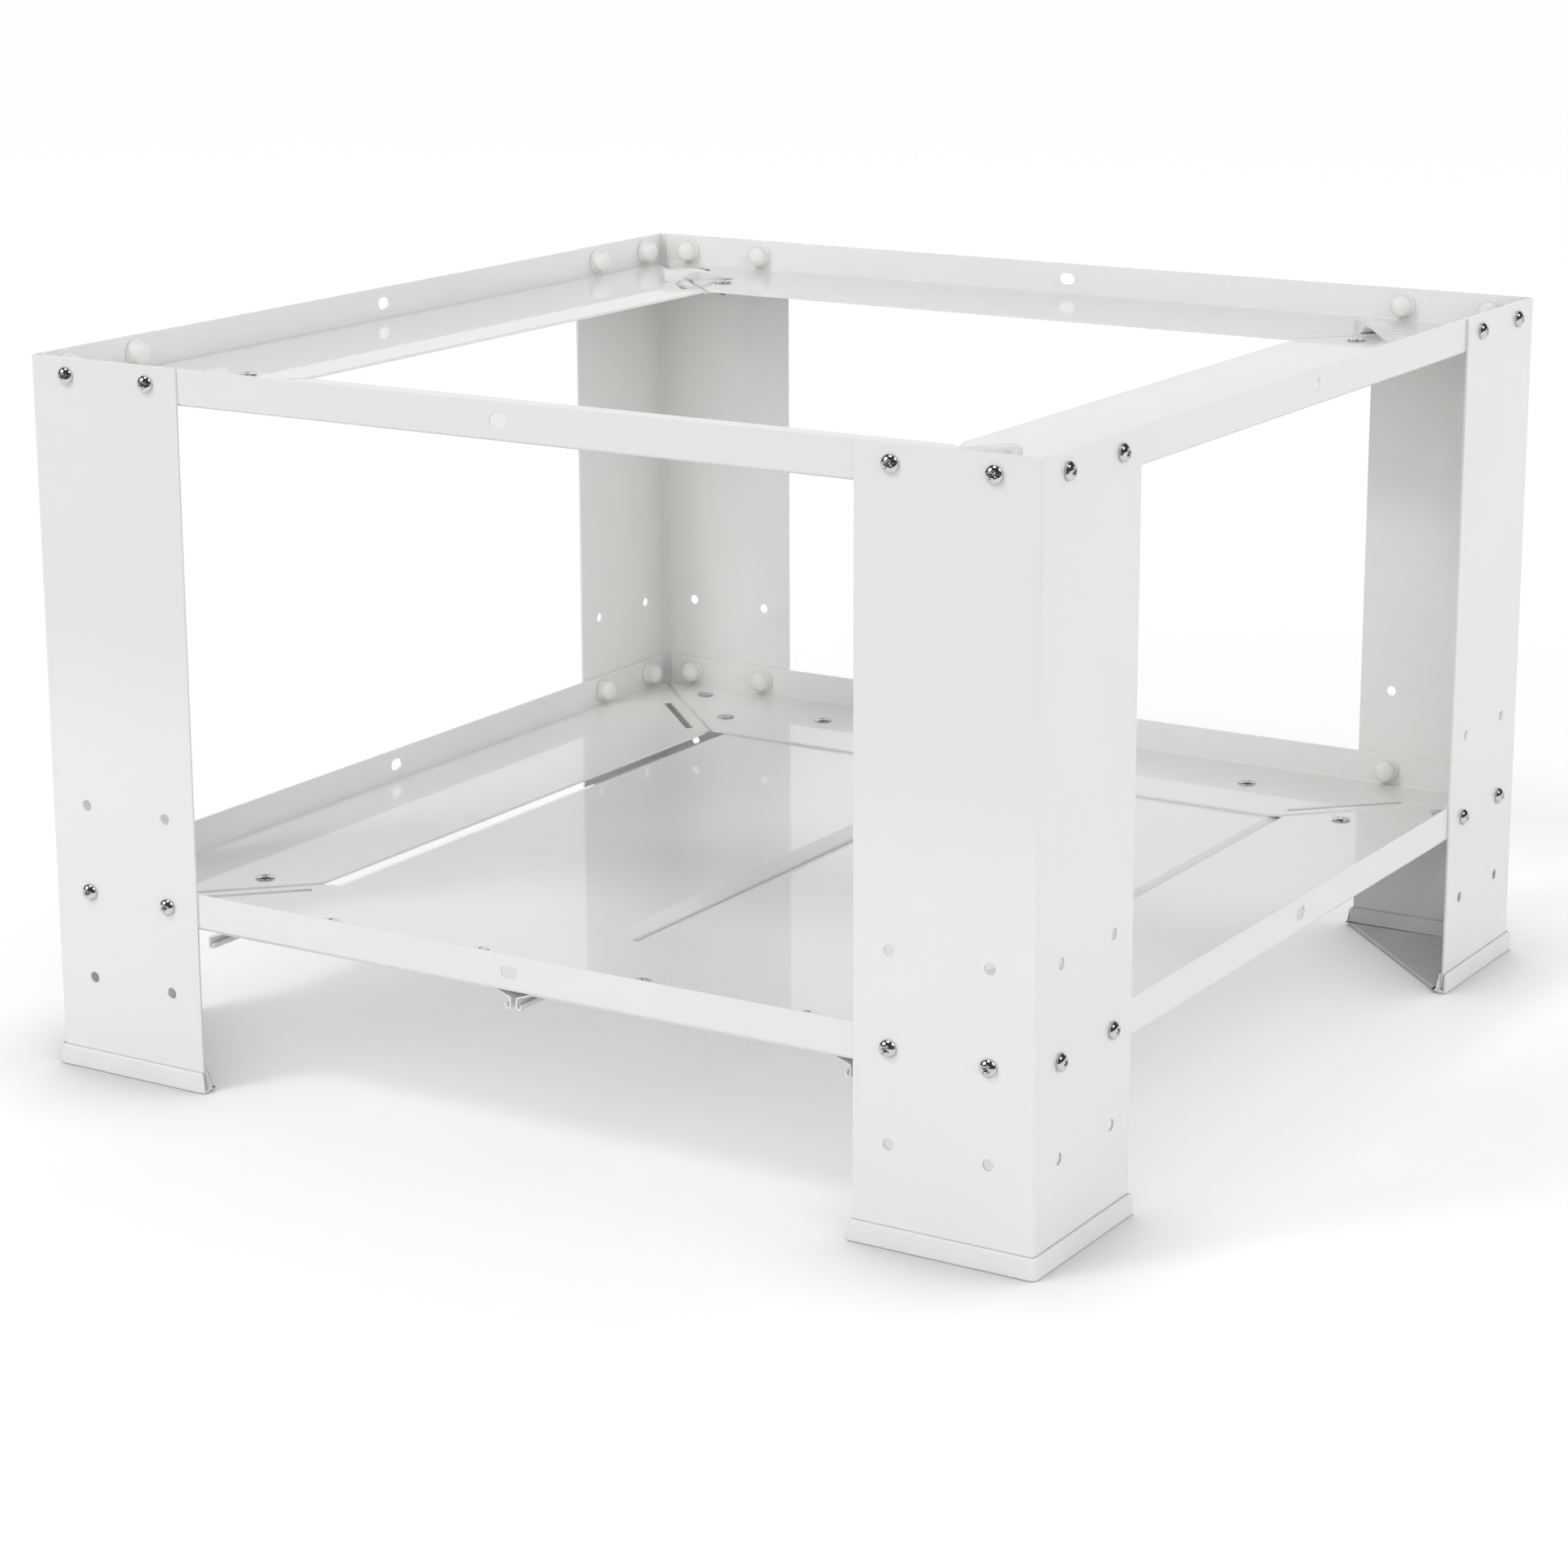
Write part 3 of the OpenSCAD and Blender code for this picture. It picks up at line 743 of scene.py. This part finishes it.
# %% [markdown]
# There are two screws: one with a high domed head through the legs, and one with a low
# wide head through the flanges. A thread is a helix, but under a head only its edges are
# seen, and rings a pitch apart show the same edges with far fewer faces.

# %% Profiles of the two heads
domed_r, domed_h = 4.75, 3.4
domed_rim = 0.8
dome_steps = 14
dome_power = 0.94    # below 1, the dome is fuller than half an ellipse
low_r, low_h = 5.4, 1.5
low_rim = 0.75
crown_steps = 8


def domed_head():
    """A high round head: nearly half a ball on a short straight rim."""
    rise = domed_h - domed_rim
    angles = [math.radians(90 * k / dome_steps) for k in range(1, dome_steps)]
    dome = [(domed_r * math.sin(a) ** dome_power, domed_rim + rise * math.cos(a)) for a in angles]
    rim = [(domed_r, domed_rim), (domed_r, 0.4), (domed_r - 0.12, 0.12), (domed_r - 0.4, 0)]
    return [(0, domed_h)] + dome + rim


def low_head():
    """A wide flat head, crowned by less than a millimetre, with a rounded rim."""
    shares = [k / crown_steps for k in range(crown_steps)]
    crown = [(low_r * s, low_rim + (low_h - low_rim) * (1 - s ** 2)) for s in shares]
    rim = [(low_r - 0.16, low_rim + 0.1), (low_r - 0.03, low_rim - 0.12), (low_r, 0.4),
           (low_r - 0.1, 0.1), (low_r - 0.3, 0)]
    return crown + rim


# %% The shank
neck_r, root_r, crest_r, tip_r = 2.3, 2.1, 2.48, 1.7
neck_l, tip_l = 0.6, 0.5
pitch = 0.8


def shank(length):
    """A grooved shank with a short blunt tip, walked down from under the head."""
    rings = [(neck_r, 0)]
    z = -neck_l
    while z > tip_l + pitch / 2 - length:
        rings += [(root_r, z), (crest_r, z - 0.3), (crest_r, z - 0.4), (root_r, z - 0.7)]
        z -= pitch
    return rings + [(root_r, tip_l - length), (tip_r, -length), (0, -length)]


# %% [markdown]
# The cross recess is cut out of the head by one tapered star. It is wider above the head
# than in it, so that the cutter leaves no skin, and narrow at its bottom, as the tip of a
# screwdriver is.

# %% One screw
star_levels = ((0.5, -1.0, 0), (0.9, -0.35, 0), (1.05, 0, 0.3))


def build_screw(name, head, top, length, cross):
    """cross is the recess: depth, length of an arm, half its width, and its heart.
    Each of the star's levels is a size and a height: a share of the depth, and more."""
    depth, arm, half, heart = cross
    bm = bmesh.new()
    turned(bm, head + shank(length), 48)
    made = new_object(name, bm)
    outline = []
    for quarter in range(4):
        turn = Matrix.Rotation(math.pi / 2 * quarter, 2)
        points = ((arm, -half), (arm, half), (heart, half + 0.08), (half + 0.08, heart))
        outline += [tuple(turn @ Vector(p)) for p in points]
    star = bmesh.new()
    rows = [[star.verts.new((x * size, y * size, top + share * depth + more)) for x, y in outline]
            for size, share, more in star_levels]
    star.faces.new(rows[0])
    star.faces.new(rows[-1])
    for first, second in zip(rows, rows[1:]):
        strip(star, first + first[:1], second + second[:1])
    return cut_with(made, new_object("recess", star))


# %% The two screws
screw_l, low_screw_l = 10, 8
domed_cross = (2.2, 2.35, 0.6, 1.3)
low_cross = (0.8, 2.1, 0.5, 1.0)
screw = build_screw("domed_screw_pattern", domed_head(), domed_h, screw_l, domed_cross)
low_screw = build_screw("low_screw_pattern", low_head(), low_h, low_screw_l, low_cross)
print("a screw has", len(screw.data.polygons), "faces")

# %% [markdown]
# A nut's corners are rounded off by a cone. Moving its vertices would give straight
# chamfers, but a real one shows six arcs, which come by themselves when the hexagon is
# cut by a turned body.

# %% One nut
nut_across, nut_h = 8, 4
nut_face_r = 3.9     # the round face that the cone leaves
cone_w = 1.3
cone_turn = 1.7      # degrees, which keeps the cone's edges off the hexagon's
bore_r, bore_mouth_r = 2.55, 3.4


def build_nut():
    """A hexagon prism, cut by a body turned to a blunt double cone, then bored."""
    bm = bmesh.new()
    prism(bm, arc((0, 0), nut_across / math.sqrt(3), 0, 300, 5), -nut_h - 1, 1)
    nut = new_object("nut_pattern", bm)
    cone = bmesh.new()
    slope = math.tan(math.radians(30)) * cone_w
    turned(cone, [(0, -nut_h), (nut_face_r, -nut_h), (nut_face_r + cone_w, slope - nut_h),
                  (nut_face_r + cone_w, -slope), (nut_face_r, 0), (0, 0)], 64)
    turn = Matrix.Rotation(math.radians(cone_turn), 3, "Z")
    bmesh.ops.rotate(cone, verts=cone.verts, matrix=turn)
    cut_with(nut, new_object("nut_chamfer", cone), "INTERSECT")
    bore = bmesh.new()
    turned(bore, [(0, -nut_h - 1), (bore_mouth_r, -nut_h - 0.5), (bore_r, -nut_h + 0.35),
                  (bore_r, -0.35), (bore_mouth_r, 0.5), (0, 1)])
    return cut_with(nut, new_object("nut_bore", bore))


nut = build_nut()

# %% [markdown]
# A cap is a moulded shell that is pressed over a nut. A solid dome would look the same
# from outside, but the real one is hollow, with a wide room for the nut and a narrow one
# for the screw's tip, and one turned profile gives both sides.

# %% One cap
cap_h = 9.5
cap_brim_r, cap_body_r, cap_dome_r = 7.5, 6.5, 8.2
nut_room_r, nut_room_h = 4.9, 4.3
tip_room_r, tip_room_h = 2.8, 7.6


def build_cap():
    """A turned shell with a flat brim and a domed end, open at the nut's side."""
    rise = cap_dome_r - math.sqrt(cap_dome_r ** 2 - cap_body_r ** 2)
    edge = math.degrees(math.acos(cap_body_r / cap_dome_r))
    dome = arc((0, cap_h - cap_dome_r), cap_dome_r, edge, 90, 12)
    hollow = [(0, tip_room_h), (tip_room_r, tip_room_h), (tip_room_r, nut_room_h),
              (nut_room_r, nut_room_h), (nut_room_r, 0)]
    brim = [(cap_brim_r - 0.3, 0), (cap_brim_r, 0.25), (cap_brim_r, 1.0),
            (cap_brim_r - 0.18, 1.4), (cap_brim_r - 0.5, 1.6)]
    wall = [(cap_body_r + 0.25, 1.62), (cap_body_r + 0.05, 1.85), (cap_body_r, 2.2),
            (cap_body_r, cap_h - rise - 0.35)]
    bm = bmesh.new()
    profile = hollow + brim + wall + dome[1:-1] + [(0, cap_h)]
    turned(bm, [(radius, -z) for radius, z in profile])
    return new_object("cap_pattern", bm)


cap = build_cap()
print("a nut has", len(nut.data.polygons), "faces, a cap", len(cap.data.polygons))


# %% [markdown]
# Every screw stops at its own angle when it is tightened, so each gets its own turn.
# The turns come from a fixed sequence, not from chance, and are the same in every run.

# %% Where the fasteners go
spin_step, spin_start = 137.5, 11


def spin(count):
    return Matrix.Rotation(math.radians(spin_step * count + spin_start), 4, "Z")


def leg_places(z, depth):
    """Through the legs, at a depth from their outer faces, with the axis outwards."""
    flat = Matrix.Rotation(math.pi / 2, 4, "X")
    found = []
    for index in range(4):
        for column in hole_columns:
            for x in (column, stand - column):
                found.append(Matrix.Translation((0, 0, z)) @ corner_place(index)
                             @ Matrix.Translation((x, depth, 0)) @ flat)
    return found


def corner_places(z):
    """Beside the mitred seams of a frame, two to a corner."""
    found = []
    for index in range(4):
        for along in corner_bolts:
            x, y = seam_point(along, -corner_bolt_aside)
            found.append(corner_place(index, frame_outer) @ Matrix.Translation((x, y, z)))
    return found


def panel_places(z):
    """Through the front and rear flanges of the lower frame."""
    inset = frame_outer / 2 - panel_bolts_in
    return [Matrix.Translation((x, end * inset, z)) for x in panel_bolts_x for end in (-1, 1)]


def fasten(name, pattern, places, node, material=bright_chrome):
    """Installs a pattern at all its places, each copy with its own turn."""
    places = [place @ spin(k) for k, place in enumerate(places)]
    install(name, pattern, places, node, material)
    print(name, len(places))


# %% Install the fasteners
for level, flange_z, row_z in (("upper", upper_z, leg_top - hole_drop),
                               ("lower", lower_z, foot_floor + shelf_row)):
    fasten(level + "_leg_screws", screw, leg_places(row_z, 0), level + "_leg_bolts")
    fasten(level + "_leg_hex_nuts", nut, leg_places(row_z, 2 * sheet), level + "_leg_nuts")
    fasten(level + "_domed_caps", cap, leg_places(row_z, 2 * sheet), level + "_nut_caps",
           moulded_plastic)
    fasten(level + "_corner_screws", low_screw, corner_places(flange_z + sheet),
           level + "_corner_bolts")
    fasten(level + "_corner_hex_nuts", nut, corner_places(flange_z - sheet),
           level + "_corner_nuts")
fasten("shelf_screws", low_screw, panel_places(lower_z + sheet), "shelf_bolts")
fasten("shelf_hex_nuts", nut, panel_places(lower_z - panel_sheet), "shelf_nuts")

# %% [markdown]
# ## Corner clips
# A clip is a springy plastic arm. Its squared head stands beside the slanted slot, its
# stem goes down through the slot to a small foot, and its arm arches over the seam and
# thins towards a tip on the next rail. It could be put together from boxes, but it is one
# moulding, so its side view is one closed outline, pulled to the clip's width and narrowed
# towards the tip.

# %% Sizes of a clip
clip_w, clip_t = 12, 2
clip_tip_w, clip_tip_t = 6, 0.9
clip_reach = 28      # of the arm, from the seam
clip_rise = 5        # of the arm's underside over the seam
clip_top = clip_rise + clip_t
clip_at = 96         # from the frame's corner, along the seam
clip_steps = 16
stem_w = 4.4
head_w = 8
clip_foot = 5.5      # half the width of the foot under the slot
clip_ease = 0.35
notch_w, notch_l, notch_h = 2.5, 4.5, 3
slot_mid = (slot_near + slot_far) / 2
stem_at = slot_mid - stem_w / 2


# %% One clip
def clip_arm():
    """The arm's two sides: a wave up from the stem, over the seam and down to the tip."""
    shares = [k / clip_steps for k in range(clip_steps + 1)]
    under = [(stem_at * (1 - s), clip_rise * (1 - math.cos(math.pi * s)) / 2) for s in shares]
    falling = [(-clip_reach * s, clip_rise * (1 + math.cos(math.pi * s)) / 2) for s in shares[1:]]
    thinning = (clip_tip_t - clip_t) / clip_reach
    over = [(y, z + clip_t - thinning * y) for y, z in falling[::-1][1:]]
    return under + falling + over


def clip_outline():
    left, right = slot_mid - clip_foot, slot_mid + clip_foot
    far = stem_at + head_w
    foot = [(far, 0), (stem_at + stem_w, 0), (stem_at + stem_w, -sheet), (right, -sheet),
            (right, -sheet - clip_t), (left, -sheet - clip_t), (left, -sheet), (stem_at, -sheet)]
    return [(far, clip_top)] + foot + clip_arm() + [(0, clip_top)]


def build_clip():
    outline = clip_outline()
    bm = bmesh.new()
    rows = []
    for side in (-1, 1):
        row = []
        for y, z in outline:
            narrowing = (clip_w - clip_tip_w) / 2 * max(-y, 0) / clip_reach
            row.append(bm.verts.new((side * (clip_w / 2 - narrowing), y, z)))
        rows.append(row)
        bm.faces.new(row)
    strip(bm, rows[0] + rows[0][:1], rows[1] + rows[1][:1])
    clip = new_object("clip_pattern", bm)
    notch = bmesh.new()
    edge = clip_w / 2
    box = [(-edge - 2, stem_at), (notch_w - edge, stem_at),
           (notch_w - edge, stem_at + notch_l), (-edge - 2, stem_at + notch_l)]
    prism(notch, box, clip_top - notch_h, clip_top + 2)
    cut_with(clip, new_object("notch", notch))
    return ease_edges(clip, clip_ease, 3, 40)


# %% [markdown]
# The outline counts its places towards the clip's own rail. Turned by 45 degrees alone it
# would lie on the other side of the seam, so it is mirrored too. A mirrored mesh is inside
# out, so each clip is turned right side out at the end.

# %% Install the clips
clip = build_clip()
on_seam = Matrix.Rotation(math.radians(45), 4, "Z") @ Matrix.Scale(-1, 4, (0, 1, 0))
for index, corner in enumerate(CORNERS):
    place = (Matrix.Translation((0, 0, upper_z + sheet)) @ corner_place(index, frame_outer)
             @ on_seam @ Matrix.Translation((clip_at, 0, 0)))
    piece = install("corner_clip_" + corner, clip, [place], "clip_" + corner,
                    moulded_plastic)
    piece.data.flip_normals()
print("a clip has", len(clip.data.polygons), "faces")

# %% [markdown]
# Every piece is now a copy of a pattern, and the patterns themselves still stand at the
# origin. They could be hidden, but a mesh that is never seen has no use in the file.

# %% Clear the patterns away
for pattern in (leg, plain_rail, shelf_rail, panel, foot, screw, low_screw, nut, cap, clip):
    mesh = pattern.data
    bpy.data.objects.remove(pattern)
    bpy.data.meshes.remove(mesh)
print("pieces:", len(made_pieces))

# %% [markdown]
# ## The floor
# The stand was photographed on white paper. A plain diffuse floor would turn grey away
# from the lamps, and a glowing one would take no shadow, so this one is both: its colour
# takes the stand's shadow, and a glow that only the camera and mirror-like reflections see
# makes it fade to pure white. It darkens close to anything that stands on it. Mirrors see
# the paper end a step in front of the stand, as it does in a studio.

# %% Small node helpers
def math_node(tree, operation, a, b):
    """One sum or product. Each side is a number or another node's output."""
    node = tree.nodes.new("ShaderNodeMath")
    node.operation = operation
    for socket, value in zip(node.inputs, (a, b)):
        if isinstance(value, (int, float)):
            socket.default_value = value
        else:
            tree.links.new(value, socket)
    return node.outputs["Value"]


def ramp_node(tree, value, low, high, to_low, to_high):
    """A soft change from one value to another while the input goes from low to high."""
    node = tree.nodes.new("ShaderNodeMapRange")
    node.interpolation_type = "SMOOTHSTEP"
    limits = (("From Min", low), ("From Max", high), ("To Min", to_low), ("To Max", to_high))
    for label, number in limits:
        node.inputs[label].default_value = number
    tree.links.new(value, node.inputs["Value"])
    return node.outputs["Result"]


def along_node(tree, vector, direction):
    """How far a vector goes in a direction."""
    node = tree.nodes.new("ShaderNodeVectorMath")
    node.operation = "DOT_PRODUCT"
    node.inputs[1].default_value = direction
    tree.links.new(vector, node.inputs[0])
    return node.outputs["Value"]


# %% The shadow close to the feet
contact_reach = 0.09
contact_line = 0.50      # brightness of the thin line right at a foot
contact_shade = 0.68     # brightness of the wider shade round it
line_at, shade_at = (0.50, 0.60), (0.45, 1.0)


def contact_shadow(tree):
    """1 on open floor, less where something stands close by."""
    closed_in = tree.nodes.new("ShaderNodeAmbientOcclusion")
    closed_in.samples = 3
    closed_in.inputs["Distance"].default_value = contact_reach
    line = ramp_node(tree, closed_in.outputs["AO"], *line_at, contact_line, 1.0)
    shade = ramp_node(tree, closed_in.outputs["AO"], *shade_at, contact_shade, 1.0)
    return math_node(tree, "MULTIPLY", line, shade)


# %% The end of the paper, for mirrors alone
paper_end = (0.80, 1.20)
paper_lost = 0.95


def paper_left(tree, where, glossy):
    """How much of the paper a ray sees: all of it, but for mirrors less in front."""
    ahead = along_node(tree, where, (0, -1, 0))
    lost = ramp_node(tree, ahead, *paper_end, 0.0, paper_lost)
    return math_node(tree, "SUBTRACT", 1.0, math_node(tree, "MULTIPLY", lost, glossy))


# %% The glow
floor_glow, far_glow = 0.39, 0.05
far_at = (0.9, 1.6)


def floor_light(tree, where, path):
    """The strength of the glow: a little more far from the stand, none for other rays."""
    away = tree.nodes.new("ShaderNodeVectorMath")
    away.operation = "LENGTH"
    tree.links.new(where, away.inputs[0])
    seen = math_node(tree, "MAXIMUM", path["Is Camera Ray"], path["Is Glossy Ray"])
    level = ramp_node(tree, away.outputs["Value"], *far_at, floor_glow, floor_glow + far_glow)
    return math_node(tree, "MULTIPLY", level, seen)


# %% The floor and its material
floor_half = 14
floor_white = 0.80


def floor_material():
    material = bpy.data.materials.new("studio_floor")
    material.use_nodes = True
    tree = material.node_tree
    tree.nodes.clear()
    path = tree.nodes.new("ShaderNodeLightPath").outputs
    where = tree.nodes.new("ShaderNodeTexCoord").outputs["Object"]
    paper = paper_left(tree, where, path["Is Glossy Ray"])
    kept = math_node(tree, "MULTIPLY", contact_shadow(tree), paper)
    plain = tree.nodes.new("ShaderNodeBsdfDiffuse")
    tree.links.new(math_node(tree, "MULTIPLY", kept, floor_white), plain.inputs["Color"])
    glow = tree.nodes.new("ShaderNodeEmission")
    glow.inputs["Color"].default_value = (1, 1, 1, 1)
    strength = math_node(tree, "MULTIPLY", floor_light(tree, where, path), kept)
    tree.links.new(strength, glow.inputs["Strength"])
    both = tree.nodes.new("ShaderNodeAddShader")
    tree.links.new(plain.outputs["BSDF"], both.inputs[0])
    tree.links.new(glow.outputs["Emission"], both.inputs[1])
    out = tree.nodes.new("ShaderNodeOutputMaterial")
    tree.links.new(both.outputs["Shader"], out.inputs["Surface"])
    return material


def build_floor():
    bm = bmesh.new()
    corners = [(x * floor_half, y * floor_half) for x, y in ((-1, -1), (1, -1), (1, 1), (-1, 1))]
    bm.faces.new([bm.verts.new((x, y, 0)) for x, y in corners])
    floor = new_object("studio_floor", bm, closed=False)
    floor.data.materials.append(floor_material())


build_floor()
print("the floor is", 2 * floor_half, "m wide")

# %% [markdown]
# ## The room
# The room is a white tent whose walls glow by different amounts. Area lamps could stand
# for the walls, but each would need its size and place, while a world needs one number for
# each direction and gives no hard edges. Diffuse light comes from all round, with more
# from the walls that the photographer lit.

# %% The tent's walls
tent_walls = {
    (0, 0, 1): 0.10,
    (0, -1, 0): 1.63,
    (1, 0, 0): 1.24,
    (-1, 0, 0): 0.15,
    (0, 1, 0): 1.80,
}
tent_all_round = 0.02


def tent_light(tree, where):
    """What a diffuse surface gets from a direction: each wall fades with its angle."""
    lit = tent_all_round
    for direction, level in tent_walls.items():
        facing = math_node(tree, "MAXIMUM", along_node(tree, where, direction), 0.0)
        wall = math_node(tree, "POWER", facing, 2.0)
        lit = math_node(tree, "ADD", lit, math_node(tree, "MULTIPLY", wall, level))
    return lit


# %% [markdown]
# Mirror-like reflections see their own picture of the room. If they saw the same even
# white as the diffuse surfaces do, the chrome would look like plaster. Theirs is a white
# backdrop behind the stand, a dark room elsewhere and three soft boxes, which are the three
# bright dots on every domed screw.

# %% What mirrors see
backdrop_at = (-0.525, 0.851, 0)
backdrop_side = (0.45, 0.62)
backdrop_top = (0.42, 0.60)
horizon = (-0.02, 0.02)
mirror_dark = 0.94
soft_boxes = ((-0.69, -0.62, 0.375), (-0.19, -0.36, 0.911), (0.67, -0.14, 0.72))
soft_box_edge = (0.968, 0.986)
soft_box_level = 5.0


def mirrored_room(tree, where):
    height = along_node(tree, where, (0, 0, 1))
    beside = ramp_node(tree, along_node(tree, where, backdrop_at), *backdrop_side, 0, 1)
    backdrop = math_node(tree, "MULTIPLY", beside, ramp_node(tree, height, *backdrop_top, 1, 0))
    dark = math_node(tree, "MULTIPLY", ramp_node(tree, height, *horizon, 0, 1),
                     math_node(tree, "SUBTRACT", 1.0, backdrop))
    room = math_node(tree, "SUBTRACT", 1.0, math_node(tree, "MULTIPLY", dark, mirror_dark))
    for direction in soft_boxes:
        facing = along_node(tree, where, Vector(direction).normalized())
        box = ramp_node(tree, facing, *soft_box_edge, 0, 1)
        room = math_node(tree, "ADD", room, math_node(tree, "MULTIPLY", box, soft_box_level))
    return room


# %% The world
def build_world():
    """Diffuse rays get the tent's light, mirrors their own room, and the camera white."""
    world = bpy.data.worlds.new("white_tent")
    bpy.context.scene.world = world
    world.use_nodes = True
    tree = world.node_tree
    tree.nodes.clear()
    path = tree.nodes.new("ShaderNodeLightPath").outputs
    glossy, seen = path["Is Glossy Ray"], path["Is Camera Ray"]
    where = tree.nodes.new("ShaderNodeTexCoord").outputs["Generated"]
    rest = math_node(tree, "SUBTRACT", math_node(tree, "SUBTRACT", 1.0, glossy), seen)
    lit = math_node(tree, "MULTIPLY", tent_light(tree, where), rest)
    mirrored = math_node(tree, "MULTIPLY", mirrored_room(tree, where), glossy)
    strength = math_node(tree, "ADD", math_node(tree, "ADD", lit, mirrored), seen)
    tent = tree.nodes.new("ShaderNodeBackground")
    tent.inputs["Color"].default_value = (1, 1, 1, 1)
    tree.links.new(strength, tent.inputs["Strength"])
    out = tree.nodes.new("ShaderNodeOutputWorld")
    tree.links.new(tent.outputs["Background"], out.inputs["Surface"])


build_world()
print("the tent has", len(tent_walls), "lit walls and", len(soft_boxes), "soft boxes")

# %% [markdown]
# The tent alone gives no shadow with a direction. One wide disk lamp, high at the left of
# the camera, draws the soft shadow under the stand. A small lamp would do, but its shadow
# has a sharp edge, and the photograph's is blurred by the width of the lamp.

# %% The key lamp
key_azimuth, key_elevation = math.radians(-28), math.radians(50)
key_distance, key_width, key_watts = 4.0, 0.9, 30
aimed_at = Vector((0, 0, 0.2))


def direction_to(azimuth, elevation):
    """From the stand to a place round it: azimuth counts from the front to the right."""
    level = math.cos(elevation)
    return Vector((math.sin(azimuth) * level, -math.cos(azimuth) * level, math.sin(elevation)))


def look_back(made, direction, roll=0.0):
    """Turns a lamp or a camera so that it looks against a direction."""
    turn = (-direction).to_track_quat("-Z", "Y") @ Matrix.Rotation(roll, 3, "Z").to_quaternion()
    made.rotation_mode = "QUATERNION"
    made.rotation_quaternion = turn


key_data = bpy.data.lights.new("key_lamp", "AREA")
key_data.shape = "DISK"
key_data.size = key_width
key_data.energy = key_watts
key_lamp = bpy.data.objects.new("key_lamp", key_data)
to_lamp = direction_to(key_azimuth, key_elevation)
key_lamp.location = aimed_at + to_lamp * key_distance
look_back(key_lamp, to_lamp)
key_lamp.visible_glossy = False
bpy.context.scene.collection.objects.link(key_lamp)
print("the lamp is at", [round(v, 2) for v in key_lamp.location])

# %% [markdown]
# ## The camera
# The camera stands where the photographer stood, worked out from a hundred points measured
# on the photographed legs, rails and holes: 32 degrees round to the right and 14 degrees
# up, with a long lens. A wider lens from nearer by would frame it too, but its lines would
# run together faster than the photograph's do. The small shift frames the stand as the
# photograph does.

# %% The camera
camera_azimuth, camera_elevation = math.radians(31.691), math.radians(13.751)
camera_roll = math.radians(-0.182)
camera_place = (1.1069, -1.8279, 0.7106)
camera_data = bpy.data.cameras.new("photo_camera")
camera_data.sensor_width = 36
camera_data.lens = 88.48
camera_data.shift_y = -0.060
camera_data.clip_end = 100
camera = bpy.data.objects.new("photo_camera", camera_data)
camera.location = camera_place
look_back(camera, direction_to(camera_azimuth, camera_elevation), camera_roll)
bpy.context.scene.collection.objects.link(camera)
bpy.context.scene.camera = camera
bpy.context.scene.view_settings.view_transform = "Standard"
print("the camera is", round(camera.location.length, 2), "m from the stand")
